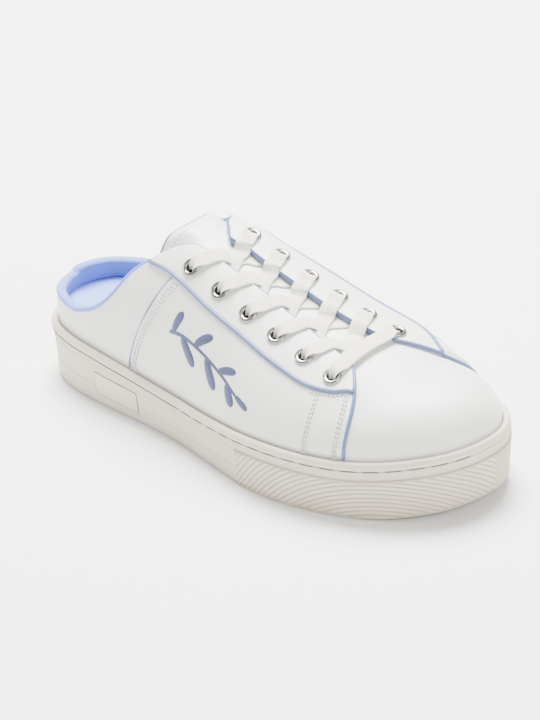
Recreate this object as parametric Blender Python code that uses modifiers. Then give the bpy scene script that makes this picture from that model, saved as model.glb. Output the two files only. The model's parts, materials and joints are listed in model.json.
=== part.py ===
"""A backless lace-up sneaker for the right foot, standing empty on its sole.

+X points to the toe, +Y to the inner side of the foot and +Z up. The origin is on the floor, under the
middle of the shoe. A rubber cup sole carries a footbed and a leather upper with two eyestays. A padded
collar lines the low heel, a tongue closes the throat, and a flat lace crosses over six pairs of eyelets.
"""

import bmesh
import bpy
import numpy as np
from mathutils import Matrix, Vector

MM = 0.001

# Overall sizes
SOLE_LENGTH = 276 * MM
FOREFOOT_WIDTH = 101.7 * MM
INSTEP_HEIGHT = 94 * MM
SIDE_HEIGHT = 31 * MM
TOE_SPRING = 5.6 * MM
SPRING_START = 0.8
GAP = 0.3 * MM

# Cup sole
LIP_WIDTH = 3.7 * MM
LIP_HEIGHT = 4.2 * MM
LIP_ROUND = 0.6 * MM
SEAM_GROOVE = 0.9 * MM
BAND_HEIGHT = 4.8 * MM
BAND_INSET = 0.9 * MM
CUP_DEPTH = 6 * MM
EDGE_BEVEL = 1.2 * MM
RIB_PITCH = 2.4 * MM
RIB_DEPTH = 0.5 * MM
RIB_CENTRE_DROP = 60 * MM
RIB_TOE_REACH = 62 * MM
RIB_CENTRE = {-1: 0.88, 1: 0.907}
RIB_ZONE_START = 0.585
RIB_ZONE_STEP = 0.5 * MM
TREAD_DEPTH = 1.6 * MM
TREAD_WIDTH = 3.2 * MM
TREAD_PITCH = 11 * MM
TREAD_MARGIN = 10 * MM

# Upper
WALL = 1.4 * MM
SOLE_CLEARANCE = 0.3 * MM
HEEL_STEP = 0.4 * MM
QUARTER_STEP = 1.0 * MM
EYESTAY_STEP = 0.9 * MM
SEAM_RAMP = 0.3 * MM
STAY_RAMP = 0.006
STAY_START = 0.295
STAY_RISE = 0.06
SOLE_FADE = 0.08
UPPER_ROWS = (4, 3, 2)
THROAT_BEND = (0.29, 0.42)
THROAT_CROWD = 1.4
HEEL_FAN = 0.12
TOE_FAN = 0.86

# Inner pieces
LINING = 1.4 * MM
COLLAR_ROLL = 3.2 * MM
TONGUE_THICKNESS = 3.2 * MM
TONGUE_CLEARANCE = 1.0 * MM
TONGUE_RISE = 4.5 * MM
TONGUE_START = 0.79
TONGUE_FREE = 0.40
TONGUE_END = 0.325
TONGUE_REACH = (-18 * MM, 28 * MM)
TONGUE_UNDER = 9 * MM
TONGUE_MARGIN = 2.6 * MM
TONGUE_DROP = 2.4 * MM
INSOLE_HEEL = 12 * MM
INSOLE_TOE = 5 * MM
INSOLE_EDGE = 1.0 * MM
COLLAR_LOW = 0.15
COLLAR_END = 0.295
COLLAR_TAPER = 0.35

# Eyelets and lace
EYELETS = 6
FLANGE_RADIUS = 4.7 * MM
FLANGE_HEIGHT = 0.9 * MM
BARREL_RADIUS = 3.1 * MM
BORE_RADIUS = 2.6 * MM
BARREL_DROP = 2.4 * MM
EYELET_SIDES = 10
LACE_WIDTH = 8.2 * MM
LACE_THICKNESS = 1.1 * MM
LACE_STOP = FLANGE_RADIUS + 0.6 * MM
LACE_INSIDE = 1.5 * MM

# Side plate
PLATE_LENGTH = 31.5 * MM
PLATE_HEIGHT = 11.5 * MM
PLATE_THICKNESS = 1.0 * MM
PLATE_CENTRE = 0.235
PLATE_LIFT = 0.58

# Share of the length from the heel, then the outer and inner edge as shares of the forefoot width
OUTLINE = (
    (0.000, 0.034, 0.034),
    (0.050, -0.219, 0.299),
    (0.100, -0.272, 0.356),
    (0.200, -0.314, 0.380),
    (0.300, -0.337, 0.364),
    (0.400, -0.373, 0.359),
    (0.500, -0.434, 0.400),
    (0.600, -0.488, 0.457),
    (0.670, -0.500, 0.486),
    (0.750, -0.480, 0.500),
    (0.820, -0.434, 0.490),
    (0.880, -0.364, 0.452),
    (0.940, -0.247, 0.375),
    (0.980, -0.116, 0.270),
    (1.000, 0.103, 0.103),
)

# Share of the length, lip height as a share of the side height, inset of the bottom edge in mm
SIDE = (
    (0.00, 1.01, 0.0),
    (0.15, 0.965, 0.2),
    (0.40, 0.82, 0.8),
    (0.65, 0.945, 0.4),
    (0.85, 1.00, 2.0),
    (1.00, 1.14, 2.7),
)

# Share of the length, ridge's place across and its height as shares of the forefoot width and the instep
# height, roundness of the outer and inner half of the section, belly of the inner side in mm
SECTIONS = (
    (0.10, 0.034, 0.70, 2.50, 2.5, 0.0),
    (0.20, 0.034, 0.89, 2.20, 3.8, 2.0),
    (0.30, 0.034, 0.99, 2.10, 5.0, 3.5),
    (0.40, 0.034, 1.00, 2.05, 5.5, 4.0),
    (0.46, 0.032, 0.942, 1.95, 5.0, 3.5),
    (0.53, 0.030, 0.872, 1.83, 4.4, 2.8),
    (0.60, 0.029, 0.806, 1.78, 3.6, 2.0),
    (0.66, 0.030, 0.757, 1.75, 3.2, 1.2),
    (0.725, 0.031, 0.713, 1.80, 3.0, 0.8),
    (0.80, 0.040, 0.662, 1.95, 2.7, 0.4),
    (0.86, 0.059, 0.606, 2.25, 2.25, 0.0),
)

# Each column of the upper: its foot on the outer and on the inner side and its head, as shares of the
# length, and the power of its lean: at 1 it is straight, and over 1 it bends near the head
COLUMNS = (
    (0.00, 0.00, 0.00, 1.0),
    (0.05, 0.05, 0.05, 1.0),
    (0.12, 0.12, 0.13, 1.0),
    (0.19, 0.19, 0.24, 0.9),
    (0.24, 0.24, 0.328, 0.75),
    (0.269, 0.269, 0.425, 0.58),
    (0.35, 0.355, 0.480, 0.9),
    (0.50, 0.515, 0.56, 1.6),
    (0.62, 0.645, 0.63, 2.2),
    (0.70, 0.735, 0.68, 2.8),
    (0.78, 0.820, 0.735, 3.3),
    (0.823, 0.865, 0.757, 3.6),
    (0.87, 0.905, 0.81, 3.0),
    (0.92, 0.940, 0.88, 2.0),
    (1.00, 1.00, 1.00, 1.0),
)
HEEL_SEAM = 0.269
VAMP_SEAM = 0.823

# Share of the length and how far up the section the free edge runs, on the outer and the inner side
TOP_EDGE = (
    (0.00, 0.170, 0.170),
    (0.05, 0.190, 0.155),
    (0.10, 0.178, 0.165),
    (0.145, 0.200, 0.178),
    (0.182, 0.246, 0.215),
    (0.204, 0.298, 0.262),
    (0.229, 0.380, 0.330),
    (0.250, 0.470, 0.395),
    (0.269, 0.545, 0.445),
    (0.300, 0.630, 0.500),
    (0.330, 0.725, 0.545),
    (0.344, 0.762, 0.600),
    (0.360, 0.800, 0.705),
    (0.378, 0.838, 0.900),
    (0.400, 0.850, 0.975),
    (0.450, 0.852, 0.986),
    (0.550, 0.851, 0.982),
    (0.600, 0.838, 0.973),
    (0.650, 0.823, 0.966),
    (0.700, 0.800, 0.957),
    (0.760, 0.775, 0.936),
    (1.000, 0.775, 0.936),
)

# Share of the length and how far up the section the lower edge of the eyestay runs, outer and inner side
STAY_EDGE = (
    (0.00, 0.120, 0.120),
    (0.20, 0.200, 0.180),
    (0.300, 0.600, 0.440),
    (0.330, 0.610, 0.455),
    (0.360, 0.597, 0.480),
    (0.392, 0.577, 0.505),
    (0.450, 0.558, 0.530),
    (0.550, 0.551, 0.530),
    (0.650, 0.524, 0.520),
    (0.720, 0.510, 0.520),
    (0.750, 0.525, 0.530),
    (0.770, 0.547, 0.560),
    (0.790, 0.588, 0.600),
    (0.810, 0.600, 0.640),
    (1.000, 0.600, 0.640),
)

# First and last eyelet of each row: share of the length, place across as a share of the forefoot width
EYELET_ROWS = {
    "outer": ((0.402, -0.144), (0.748, -0.216)),
    "inner": ((0.432, 0.171), (0.757, 0.190)),
}

MATERIALS = {
    "sole_rubber": ((0.80, 0.77, 0.72), 0.55, 0.0),
    "white_leather": ((0.88, 0.88, 0.86), 0.45, 0.0),
    "blue_lining": ((0.38, 0.47, 0.78), 0.75, 0.0),
    "cotton_lace": ((0.90, 0.89, 0.84), 0.85, 0.0),
    "eyelet_metal": ((0.62, 0.61, 0.59), 0.25, 1.0),
    "plate_metal": ((0.75, 0.74, 0.72), 0.20, 1.0),
}

OUTER = -1
INNER = 1


def column(table, index):
    return np.array([row[index] for row in table], float)


def smooth(keys, values, at):
    """A curve with no corners through the given values, read at one key or at an array of them."""
    keys = np.asarray(keys, float)
    values = np.asarray(values, float)
    slopes = np.gradient(values, keys)
    at = np.clip(at, keys[0], keys[-1])
    i = np.clip(np.searchsorted(keys, at, side="right") - 1, 0, len(keys) - 2)
    width = keys[i + 1] - keys[i]
    t = (at - keys[i]) / width
    return (
        (1 + 2 * t) * (1 - t) ** 2 * values[i]
        + t * (1 - t) ** 2 * width * slopes[i]
        + t * t * (3 - 2 * t) * values[i + 1]
        - t * t * (1 - t) * width * slopes[i + 1]
    )


def ease(value):
    value = np.clip(value, 0, 1)
    return value * value * (3 - 2 * value)


def turn_at(share):
    """Where along the outline a share of the length lies: 0 at the heel, pi at the toe."""
    return np.arccos(1 - 2 * np.clip(share, 0, 1))


def share_at(turn):
    return (1 - np.cos(turn)) / 2


# The sole's outline and heights


def outline(side, turn, inset=0.0):
    """Points (x, y) on the sole's outline, moved in by a distance along its own normal."""
    turn = np.asarray(turn, float)
    step = 1e-4
    edge = column(OUTLINE, 1 if side == OUTER else 2) * FOREFOOT_WIDTH

    def on_edge(at):
        across = smooth(turn_at(column(OUTLINE, 0)), edge, at)
        return np.stack([(share_at(at) - 0.5) * SOLE_LENGTH, across], -1)

    along = on_edge(np.minimum(turn + step, np.pi)) - on_edge(np.maximum(turn - step, 0))
    normal = side * np.stack([-along[..., 1], along[..., 0]], -1)
    normal /= np.linalg.norm(normal, axis=-1)[..., None]
    normal = np.where((turn < step)[..., None], (-1.0, 0.0), normal)
    normal = np.where((turn > np.pi - step)[..., None], (1.0, 0.0), normal)
    return on_edge(turn) - normal * np.asarray(inset)[..., None]


def lip_top(share):
    return smooth(column(SIDE, 0), column(SIDE, 1), share) * SIDE_HEIGHT


def cup_floor(share):
    return lip_top(share) - CUP_DEPTH


def ground_clearance(share):
    return TOE_SPRING * np.clip((share - SPRING_START) / (1 - SPRING_START), 0, 1) ** 2


def wall_inset(share, height):
    """How far the smooth side wall stands inside the outline at a height above the floor."""
    low = ground_clearance(share)
    top = lip_top(share) - LIP_HEIGHT - BAND_HEIGHT
    edge = smooth(column(SIDE, 0), column(SIDE, 2), share) * MM
    return edge * (1 - np.clip((height - low) / (top - low), 0, 1))


# The last: the outer face of the upper


def girth_point(side, turn, rise):
    """A point of the last: rise is 0 at the lip of the sole and 1 on the ridge."""
    turn = np.asarray(turn, float)
    rise = np.asarray(rise, float)
    foot = outline(side, turn, LIP_WIDTH + SOLE_CLEARANCE)
    share = share_at(turn)
    ridge_share = np.clip(share, HEEL_FAN, TOE_FAN)
    keys = column(SECTIONS, 0)
    ridge_y = smooth(keys, column(SECTIONS, 1), ridge_share) * FOREFOOT_WIDTH
    ridge_z = smooth(keys, column(SECTIONS, 2), ridge_share) * INSTEP_HEIGHT
    power = 2 / smooth(keys, column(SECTIONS, 3 if side == OUTER else 4), ridge_share)
    belly = smooth(keys, column(SECTIONS, 5), ridge_share) * MM * (side == INNER)
    lip = lip_top(share)
    angle = np.clip(rise, 0, 1) * np.pi / 2
    inward = np.where(rise < 1, 1 - np.cos(angle) ** power, 1.0)
    upward = np.where(rise < 1, np.sin(angle) ** power, 1.0)
    bulge = np.where(rise < 1, belly * np.sin(np.pi * upward) * np.sqrt(np.cos(angle)), 0.0)
    ridge_x = (ridge_share - 0.5) * SOLE_LENGTH
    return np.stack(
        [
            foot[..., 0] * (1 - inward) + ridge_x * inward,
            foot[..., 1] * (1 - inward) + ridge_y * inward + bulge,
            lip + (ridge_z - lip) * upward,
        ],
        -1,
    )


def last_point(side, turn, rise, out=0.0):
    """A point of the last moved out along its normal. A rise under 0 goes down inside the cup."""
    turn = np.clip(np.asarray(turn, float), 0, np.pi)
    rise, turn = np.broadcast_arrays(np.asarray(rise, float), turn)
    step = 2e-3
    inside_turn = np.clip(turn, step, np.pi - step)
    inside_rise = np.clip(rise, step, 1 - step)
    along = girth_point(side, inside_turn + step, inside_rise) - girth_point(side, inside_turn - step, inside_rise)
    up = girth_point(side, inside_turn, inside_rise + step) - girth_point(side, inside_turn, inside_rise - step)
    normal = np.cross(up, along) * side
    normal /= np.linalg.norm(normal, axis=-1)[..., None]
    flat = outline(side, turn) - outline(side, turn, MM)
    flat = np.concatenate([flat / MM, np.zeros(flat.shape[:-1] + (1,))], -1)
    ridge_share = np.clip(share_at(turn), HEEL_FAN, TOE_FAN)
    slope = smooth(column(SECTIONS, 0), np.gradient(column(SECTIONS, 2), column(SECTIONS, 0)), ridge_share)
    crest = np.stack([-slope * INSTEP_HEIGHT / SOLE_LENGTH, np.zeros_like(slope), np.ones_like(slope)], -1)
    crest /= np.linalg.norm(crest, axis=-1)[..., None]
    normal = np.where((rise < step)[..., None], flat, normal)
    normal = np.where((rise > 1 - step)[..., None], crest, normal)
    point = girth_point(side, turn, rise) + normal * np.asarray(out)[..., None]
    drop = np.clip(-rise, 0, 1) * (CUP_DEPTH - GAP)
    point[..., 2] -= drop
    return point


def drape(x_share, across, out=0.0):
    """The point over a place in plan, and its normal: across is a share of the forefoot width."""
    ridge_y = float(smooth(column(SECTIONS, 0), column(SECTIONS, 1), x_share))
    side = OUTER if across < ridge_y else INNER
    turn = float(turn_at(x_share))
    rises = np.linspace(0.25, 1, 80)
    track = girth_point(side, np.full(80, turn), rises)[:, 1] * side
    rise = float(np.interp(-across * FOREFOOT_WIDTH * side, -track, rises))
    base = last_point(side, turn, rise)
    lifted = last_point(side, turn, rise, MM)
    normal = (lifted - base) / MM
    return base + normal * out, normal


def even_rises(side, turn, first, last, count):
    """Rises that cut a stretch of the section into pieces of equal length."""
    rises = np.linspace(first, last, 300)
    path = girth_point(side, np.full(300, turn), rises)
    lengths = np.concatenate([[0], np.cumsum(np.linalg.norm(np.diff(path, axis=0), axis=1))])
    return np.interp(np.linspace(0, lengths[-1], count + 1), lengths, rises)


def edge_rise(table, side, turn):
    return smooth(column(table, 0), column(table, 1 if side == OUTER else 2), share_at(turn))


# Mesh helpers


def make_object(name, points, faces, material):
    """A closed mesh object whose coinciding points are joined and whose faces point out."""
    mesh = bpy.data.meshes.new(name)
    bm = bmesh.new()
    verts = [bm.verts.new(point) for point in points]
    for face in faces:
        ring = list(dict.fromkeys(face))
        if len(ring) > 2:
            bm.faces.new([verts[i] for i in ring])
    bmesh.ops.remove_doubles(bm, verts=bm.verts, dist=2e-6)
    bmesh.ops.delete(bm, geom=[v for v in bm.verts if not v.link_faces], context="VERTS")
    bmesh.ops.recalc_face_normals(bm, faces=bm.faces)
    if bm.calc_volume(signed=True) < 0:
        bmesh.ops.reverse_faces(bm, faces=bm.faces)
    bm.to_mesh(mesh)
    bm.free()
    mesh.shade_smooth()
    mesh.set_sharp_from_angle(angle=np.radians(35))
    mesh.materials.append(material)
    obj = bpy.data.objects.new(name, mesh)
    return obj


def loft(sections, close_along=False):
    """Faces of a tube through sections of equal length, with its ends closed unless it runs round."""
    count = len(sections)
    size = len(sections[0])
    faces = []
    for i in range(count if close_along else count - 1):
        j = (i + 1) % count
        for a in range(size):
            b = (a + 1) % size
            faces.append((i * size + a, i * size + b, j * size + b, j * size + a))
    if not close_along:
        faces.append(tuple(range(size)))
        faces.append(tuple((count - 1) * size + a for a in reversed(range(size))))
    return [tuple(point) for section in sections for point in section], faces


def ring_stations(turns):
    """Stations right round the shoe: up the outer side to the toe and back down the inner side."""
    return [(OUTER, t) for t in turns] + [(INNER, t) for t in turns[-2:0:-1]]


def span_faces(first, half):
    """Faces that span from the outer to the inner stations of one ring."""
    total = 2 * half
    return [
        (first + i, first + i + 1, first + (total - i - 1) % total, first + (total - i) % total) for i in range(half)
    ]


# The pieces


def rib_reach(side, turns):
    """Distance along the wall from the middle of the rib arcs, scaled so that both sides meet at the toe."""
    path = outline(side, np.linspace(0, np.pi, 400))
    lengths = np.concatenate([[0], np.cumsum(np.linalg.norm(np.diff(path, axis=0), axis=1))])
    at = np.interp(turns, np.linspace(0, np.pi, 400), lengths)
    start = np.interp(turn_at(RIB_CENTRE[side]), np.linspace(0, np.pi, 400), lengths)
    scale = RIB_TOE_REACH / (lengths[-1] - start)
    return (at - start) * scale


def sole_column(side, turn, reach, ribbed):
    """The sole's section at one station, from the bottom over the lip and down into the cup."""
    share = float(share_at(turn))
    low = float(ground_clearance(share))
    top = float(lip_top(share))
    groove = top - LIP_HEIGHT
    ledge = groove - BAND_HEIGHT
    proud = 0.0 if ribbed else BAND_INSET
    foot = low + EDGE_BEVEL
    head = ledge - EDGE_BEVEL / 2
    edge = float(wall_inset(share, low))
    profile = [(edge + proud + 2 * EDGE_BEVEL, low), (edge + proud + EDGE_BEVEL / 3, low + EDGE_BEVEL / 3)]
    far = np.hypot(RIB_TOE_REACH * 1.6, RIB_CENTRE_DROP + SIDE_HEIGHT)
    for i in range(int((far - RIB_CENTRE_DROP) / RIB_PITCH * 2)):
        radius = RIB_CENTRE_DROP + i * RIB_PITCH / 2
        height = np.sqrt(max(radius**2 - reach**2, 0)) - RIB_CENTRE_DROP
        free = ribbed and foot < height < head
        relief = RIB_DEPTH * (0.0 if free and i % 2 else 1.0) if ribbed else 0.0
        height = float(np.clip(height, foot, head)) if ribbed else foot
        profile.append((float(wall_inset(share, height)) + proud + relief, height))
    profile += [
        (proud + (RIB_DEPTH if ribbed else 0.0), head),
        (proud, ledge - EDGE_BEVEL / 6),
        (BAND_INSET * (0.9 if ribbed else 0.6), ledge),
        (BAND_INSET * 0.9, groove - SEAM_GROOVE / 2),
        (BAND_INSET + SEAM_GROOVE, groove),
        (LIP_ROUND, groove + SEAM_GROOVE / 2),
        (0.0, groove + 0.45 * LIP_HEIGHT),
        (LIP_ROUND, top - LIP_ROUND),
        (LIP_WIDTH * 0.5, top),
        (LIP_WIDTH - LIP_ROUND, top - LIP_ROUND),
        (LIP_WIDTH, top - 2 * LIP_ROUND),
        (LIP_WIDTH, float(cup_floor(share))),
    ]
    insets = np.array([inset for inset, _ in profile])
    plan = outline(side, np.full(len(profile), turn), insets)
    return [(x, y, height) for (x, y), (_, height) in zip(plan, profile)]


def sole(material):
    heel_turns = np.linspace(0, turn_at(RIB_ZONE_START), 17)[:-1]
    step = RIB_ZONE_STEP / SOLE_LENGTH
    zone_turns = np.linspace(turn_at(RIB_ZONE_START + step), np.pi, 24)
    turns = np.concatenate([heel_turns, [turn_at(RIB_ZONE_START)], zone_turns])
    reach = {side: dict(zip(turns, rib_reach(side, turns))) for side in (OUTER, INNER)}
    stations = ring_stations(list(turns))
    sections = [sole_column(s, t, reach[s][t], t >= zone_turns[0]) for s, t in stations]
    size = len(sections[0])
    rings = [[section[level] for section in sections] for level in range(size)]
    points, faces = loft([list(ring) for ring in rings])
    faces = faces[:-2]
    half = len(turns) - 1
    faces += span_faces(0, half)
    faces += span_faces((size - 1) * len(sections), half)
    return make_object("cup_sole", points, faces, material)


def tread_cutters():
    """Grooves across the flat of the heel and the forefoot."""
    cutters = []
    for first, last in ((0.07, 0.32), (0.52, 0.84)):
        count = int((last - first) * SOLE_LENGTH / TREAD_PITCH)
        for i in range(count + 1):
            share = first + (last - first) * i / count
            outer = outline(OUTER, turn_at(share), TREAD_MARGIN)
            inner = outline(INNER, turn_at(share), TREAD_MARGIN)
            depth = TREAD_DEPTH + float(ground_clearance(share))
            middle = (outer + inner) / 2
            size = (TREAD_WIDTH, inner[1] - outer[1], 2 * depth)
            bm = bmesh.new()
            bmesh.ops.create_cube(bm, size=1)
            bmesh.ops.scale(bm, vec=size, verts=bm.verts)
            bmesh.ops.translate(bm, vec=(middle[0], middle[1], 0), verts=bm.verts)
            mesh = bpy.data.meshes.new("tread_cut")
            bm.to_mesh(mesh)
            bm.free()
            cutters.append(bpy.data.objects.new(f"tread_cut_{share:.2f}", mesh))
    return cutters


def plate_patch(name, grow, inner_face, outer_face, material):
    """A curved slab that follows the outer wall between two depths below its face."""
    half_share = (PLATE_LENGTH / 2 + grow) / SOLE_LENGTH
    shares = np.linspace(PLATE_CENTRE - half_share, PLATE_CENTRE + half_share, 7)
    sections = []
    for share in shares:
        low = ground_clearance(share)
        span = lip_top(share) - LIP_HEIGHT - BAND_HEIGHT - low
        centre = low + span * PLATE_LIFT
        heights = (centre - PLATE_HEIGHT / 2 - grow, centre + PLATE_HEIGHT / 2 + grow)
        section = []
        for height, depth in (
            (heights[0], inner_face),
            (heights[1], inner_face),
            (heights[1], outer_face),
            (heights[0], outer_face),
        ):
            inset = wall_inset(share, height) + BAND_INSET + depth
            x, y = outline(OUTER, turn_at(share), inset)
            section.append((x, y, height))
        sections.append(section)
    points, faces = loft(sections)
    return make_object(name, points, faces, material)


def spread(first, last, count):
    """Feet of columns that are even halfway up and crowded where the free edge turns up to the throat."""
    feet = np.linspace(first, last, 300)
    heads = np.array([column_head(foot) for foot in feet])
    low, high = THROAT_BEND
    middles = feet + 3 * heads + THROAT_CROWD * np.clip((share_at(heads) - low) / (high - low), 0, 1)
    return np.interp(np.linspace(middles[0], middles[-1], count), middles, feet)


def upper_columns():
    """The feet of the upper's columns as turns, each with its part of the shoe."""
    heel_seam = float(turn_at(HEEL_SEAM))
    vamp_seam = float(turn_at(VAMP_SEAM))
    ramp = 2 * SEAM_RAMP / SOLE_LENGTH
    heel = [(turn, "heel") for turn in spread(0, heel_seam, 16)]
    quarter = [(turn, "quarter") for turn in spread(heel_seam + ramp, vamp_seam, 14)]
    vamp = [(turn, "vamp") for turn in spread(vamp_seam + ramp, np.pi, 10)]
    return heel + quarter + vamp


def column_head(foot):
    return float(smooth(turn_at(column(COLUMNS, 0)), turn_at(column(COLUMNS, 2)), foot))


def column_turn(side, foot, part):
    """Where a column stands at a part of its way up to the free edge."""
    feet = turn_at(column(COLUMNS, 0))
    start = foot if side == OUTER else float(smooth(feet, turn_at(column(COLUMNS, 1)), foot))
    lean = float(smooth(feet, column(COLUMNS, 3), foot))
    return start + (column_head(foot) - start) * float(np.clip(part, 0, 1)) ** lean


def upper_column(side, foot, panel):
    """Turn, rise and step of the points of one column, from inside the cup to its head."""
    to_stay, to_edge, to_ridge = UPPER_ROWS
    head = column_head(foot)
    limit = float(edge_rise(TOP_EDGE, side, head))
    stay = 0.0
    for _ in range(12):
        stay = min(float(edge_rise(STAY_EDGE, side, column_turn(side, foot, stay / limit))), 0.96 * limit)
    low_step = {"heel": HEEL_STEP, "quarter": QUARTER_STEP, "vamp": 0.0}[panel]
    raised = float(ease((share_at(head) - STAY_START) / STAY_RISE)) if panel != "vamp" else 0.0
    high_step = low_step + (QUARTER_STEP + EYESTAY_STEP - low_step) * raised
    ramp = STAY_RAMP * limit
    rises = [(-1.0, 0.0), (0.0, 0.0)]
    low_turn, high_turn = (column_turn(side, foot, part) for part in (0.3, 1))
    lows = even_rises(side, low_turn, 0, stay, to_stay)[1:]
    rises += [(rise, low_step * float(ease(rise / SOLE_FADE))) for rise in lows]
    rises += [(rise, high_step) for rise in even_rises(side, high_turn, stay + ramp, limit, to_edge)]
    if panel == "vamp":
        rises += [(rise, 0.0) for rise in even_rises(side, high_turn, limit, 1, to_ridge)[1:]]
    return [(column_turn(side, foot, rise / limit), rise, step) for rise, step in rises]


def upper(material):
    """One hollow wall: outer and inner face from the same grid, closed along every free edge."""
    columns = upper_columns()
    stations = ring_stations(columns)
    outer = []
    inner = []
    index = {}
    grid = []
    for side, (foot, panel) in stations:
        lines = []
        for turn, rise, step in upper_column(side, foot, panel):
            place = last_point(side, turn, rise)
            key = tuple(np.round(place / (2e-6)).astype(int))
            if key not in index:
                index[key] = len(outer)
                outer.append(last_point(side, turn, rise, step))
                inner.append(last_point(side, turn, rise, -WALL))
            lines.append(index[key])
        grid.append(lines)
    quads = []
    for i, low in enumerate(grid):
        high = grid[(i + 1) % len(grid)]
        for row in range(min(len(low), len(high)) - 1):
            ring = list(dict.fromkeys((low[row], high[row], high[row + 1], low[row + 1])))
            if len(ring) > 2:
                quads.append(ring)
    used = {}
    for ring in quads:
        for a, b in zip(ring, ring[1:] + ring[:1]):
            used[(a, b)] = used.get((a, b), 0) + 1
    count = len(outer)
    faces = [tuple(ring) for ring in quads]
    faces += [tuple(count + i for i in reversed(ring)) for ring in quads]
    faces += [(b, a, count + a, count + b) for a, b in used if (b, a) not in used]
    return make_object("upper", outer + inner, faces, material)


def insole_top(share):
    thickness = INSOLE_TOE + (INSOLE_HEEL - INSOLE_TOE) * (1 - ease((share - 0.15) / 0.5))
    return cup_floor(share) + thickness


def insole(material):
    turns = list(np.linspace(0, np.pi, 21))
    half = len(turns) - 1
    edge = LIP_WIDTH + SOLE_CLEARANCE + WALL + 2 * GAP
    rings = []
    for inset, height in (
        (edge, lambda share: cup_floor(share) + GAP),
        (edge, lambda share: insole_top(share) - INSOLE_EDGE),
        (edge + INSOLE_EDGE, insole_top),
    ):
        rings.append([(*outline(side, turn, inset), float(height(share_at(turn)))) for side, turn in ring_stations(turns)])
    points, faces = loft(rings)
    faces = faces[:-2] + span_faces(0, half) + span_faces(2 * len(rings[0]), half)
    return make_object("insole", points, faces, material)


def rise_at_height(side, turn, height):
    """How far up the section a height above the floor lies."""
    rises = np.linspace(0, 0.7, 200)
    heights = girth_point(side, np.full(200, turn), rises)[:, 2]
    return float(np.interp(height, heights, rises))


def collar_wall(side, foot, panel):
    """Points of the upper's own column above the footbed and below its free edge."""
    low_rows, edge_rows, _ = UPPER_ROWS
    column_points = upper_column(side, foot, panel)[2 : 2 + low_rows + edge_rows]
    points = []
    for turn, rise, _ in column_points:
        floor = float(insole_top(share_at(turn))) + 2 * GAP
        points.append((turn, max(rise, rise_at_height(side, turn, floor))))
    return points


def collar(material):
    """Lining of the heel, rolled over the free edge of the upper."""
    path = [(side, foot, panel) for side, (foot, panel) in ring_stations(upper_columns())]
    path = [station for station in path if share_at(column_head(station[1])) < COLLAR_END]
    first = next(i for i, (side, _, _) in enumerate(path) if side == INNER)
    path = path[first:] + path[:first]
    edges = []
    for side, foot, _ in path:
        turn = column_head(foot)
        edges.append(last_point(side, turn, edge_rise(TOP_EDGE, side, turn)))
    sections = []
    inside = -WALL - 2 * GAP
    for i, (side, foot, panel) in enumerate(path):
        turn = column_head(foot)
        edge = edges[i]
        normal = (last_point(side, turn, edge_rise(TOP_EDGE, side, turn), MM) - edge) / MM
        run = edges[min(i + 1, len(edges) - 1)] - edges[max(i - 1, 0)]
        away = np.cross(run, normal)
        away /= np.linalg.norm(away)
        away = away if away[2] > 0 else -away
        roll = COLLAR_ROLL * (1 - COLLAR_TAPER * ease((share_at(turn) - COLLAR_LOW) / (COLLAR_END - COLLAR_LOW)))
        wall = collar_wall(side, foot, panel)
        section = [last_point(side, *place, inside) for place in wall]
        for out, up in (
            (inside, 2 * GAP),
            (HEEL_STEP * 0.3, 2 * GAP),
            (HEEL_STEP + 0.08 * roll, 0.45 * roll),
            (-0.15 * roll, 0.88 * roll),
            (-0.7 * roll, 0.95 * roll),
            (inside - LINING - 0.16 * roll, 0.4 * roll),
            (inside - LINING, -0.35 * roll),
        ):
            section.append(edge + normal * out + away * up)
        section += [last_point(side, *place, inside - LINING) for place in wall[-2::-2]]
        sections.append(section)
    points, faces = loft(sections)
    return make_object("heel_collar", points, faces, material)


def throat_edge(side, share):
    """Place across of the free edge of one eyestay, in metres."""
    turn = turn_at(share)
    return float(last_point(side, turn, edge_rise(TOP_EDGE, side, turn))[1])


def tongue(material):
    sections = []
    shares = [*np.linspace(TONGUE_START, TONGUE_FREE, 10), *np.linspace(TONGUE_FREE, TONGUE_END, 7)[1:]]
    for share in shares:
        low = throat_edge(OUTER, share)
        high = throat_edge(INNER, share)
        first = max(low - TONGUE_UNDER, TONGUE_REACH[0])
        last = min(high + TONGUE_UNDER, TONGUE_REACH[1])
        free_low = low + TONGUE_MARGIN
        free_high = min(high, last) - TONGUE_MARGIN
        across = [first, (first + free_low) / 2, *np.linspace(free_low, free_high, 6)]
        across += [(last + free_high) / 2, last]
        bow = TONGUE_RISE * ease((TONGUE_FREE - share) / (TONGUE_FREE - TONGUE_END))
        top = []
        bottom = []
        for i, y in enumerate(across):
            part = ease((y - free_low) / TONGUE_UNDER) * ease((free_high - y) / TONGUE_UNDER)
            edge = 0.5 if i in (0, len(across) - 1) else 1.0
            out = -(WALL + TONGUE_CLEARANCE + TONGUE_DROP * (1 - edge)) + bow * part
            top.append(drape(share, y / FOREFOOT_WIDTH, out)[0])
            bottom.append(drape(share, y / FOREFOOT_WIDTH, out - TONGUE_THICKNESS * edge)[0])
        sections.append(top + bottom[::-1])
    points, faces = loft(sections)
    return make_object("tongue", points, faces, material)


def eyelet_places():
    """Share of the length and place across of every eyelet, from the top of the throat down."""
    places = {}
    for row, ((top, top_across), (low, low_across)) in EYELET_ROWS.items():
        for i in range(EYELETS):
            part = i / (EYELETS - 1)
            places[row, i] = (top + (low - top) * part, top_across + (low_across - top_across) * part)
    return places


def eyelet_matrix(place):
    face = QUARTER_STEP + EYESTAY_STEP
    point, normal = drape(*place, face)
    turn = Vector((0, 0, 1)).rotation_difference(Vector(normal))
    return Matrix.Translation(Vector(point)) @ turn.to_matrix().to_4x4()


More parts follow.
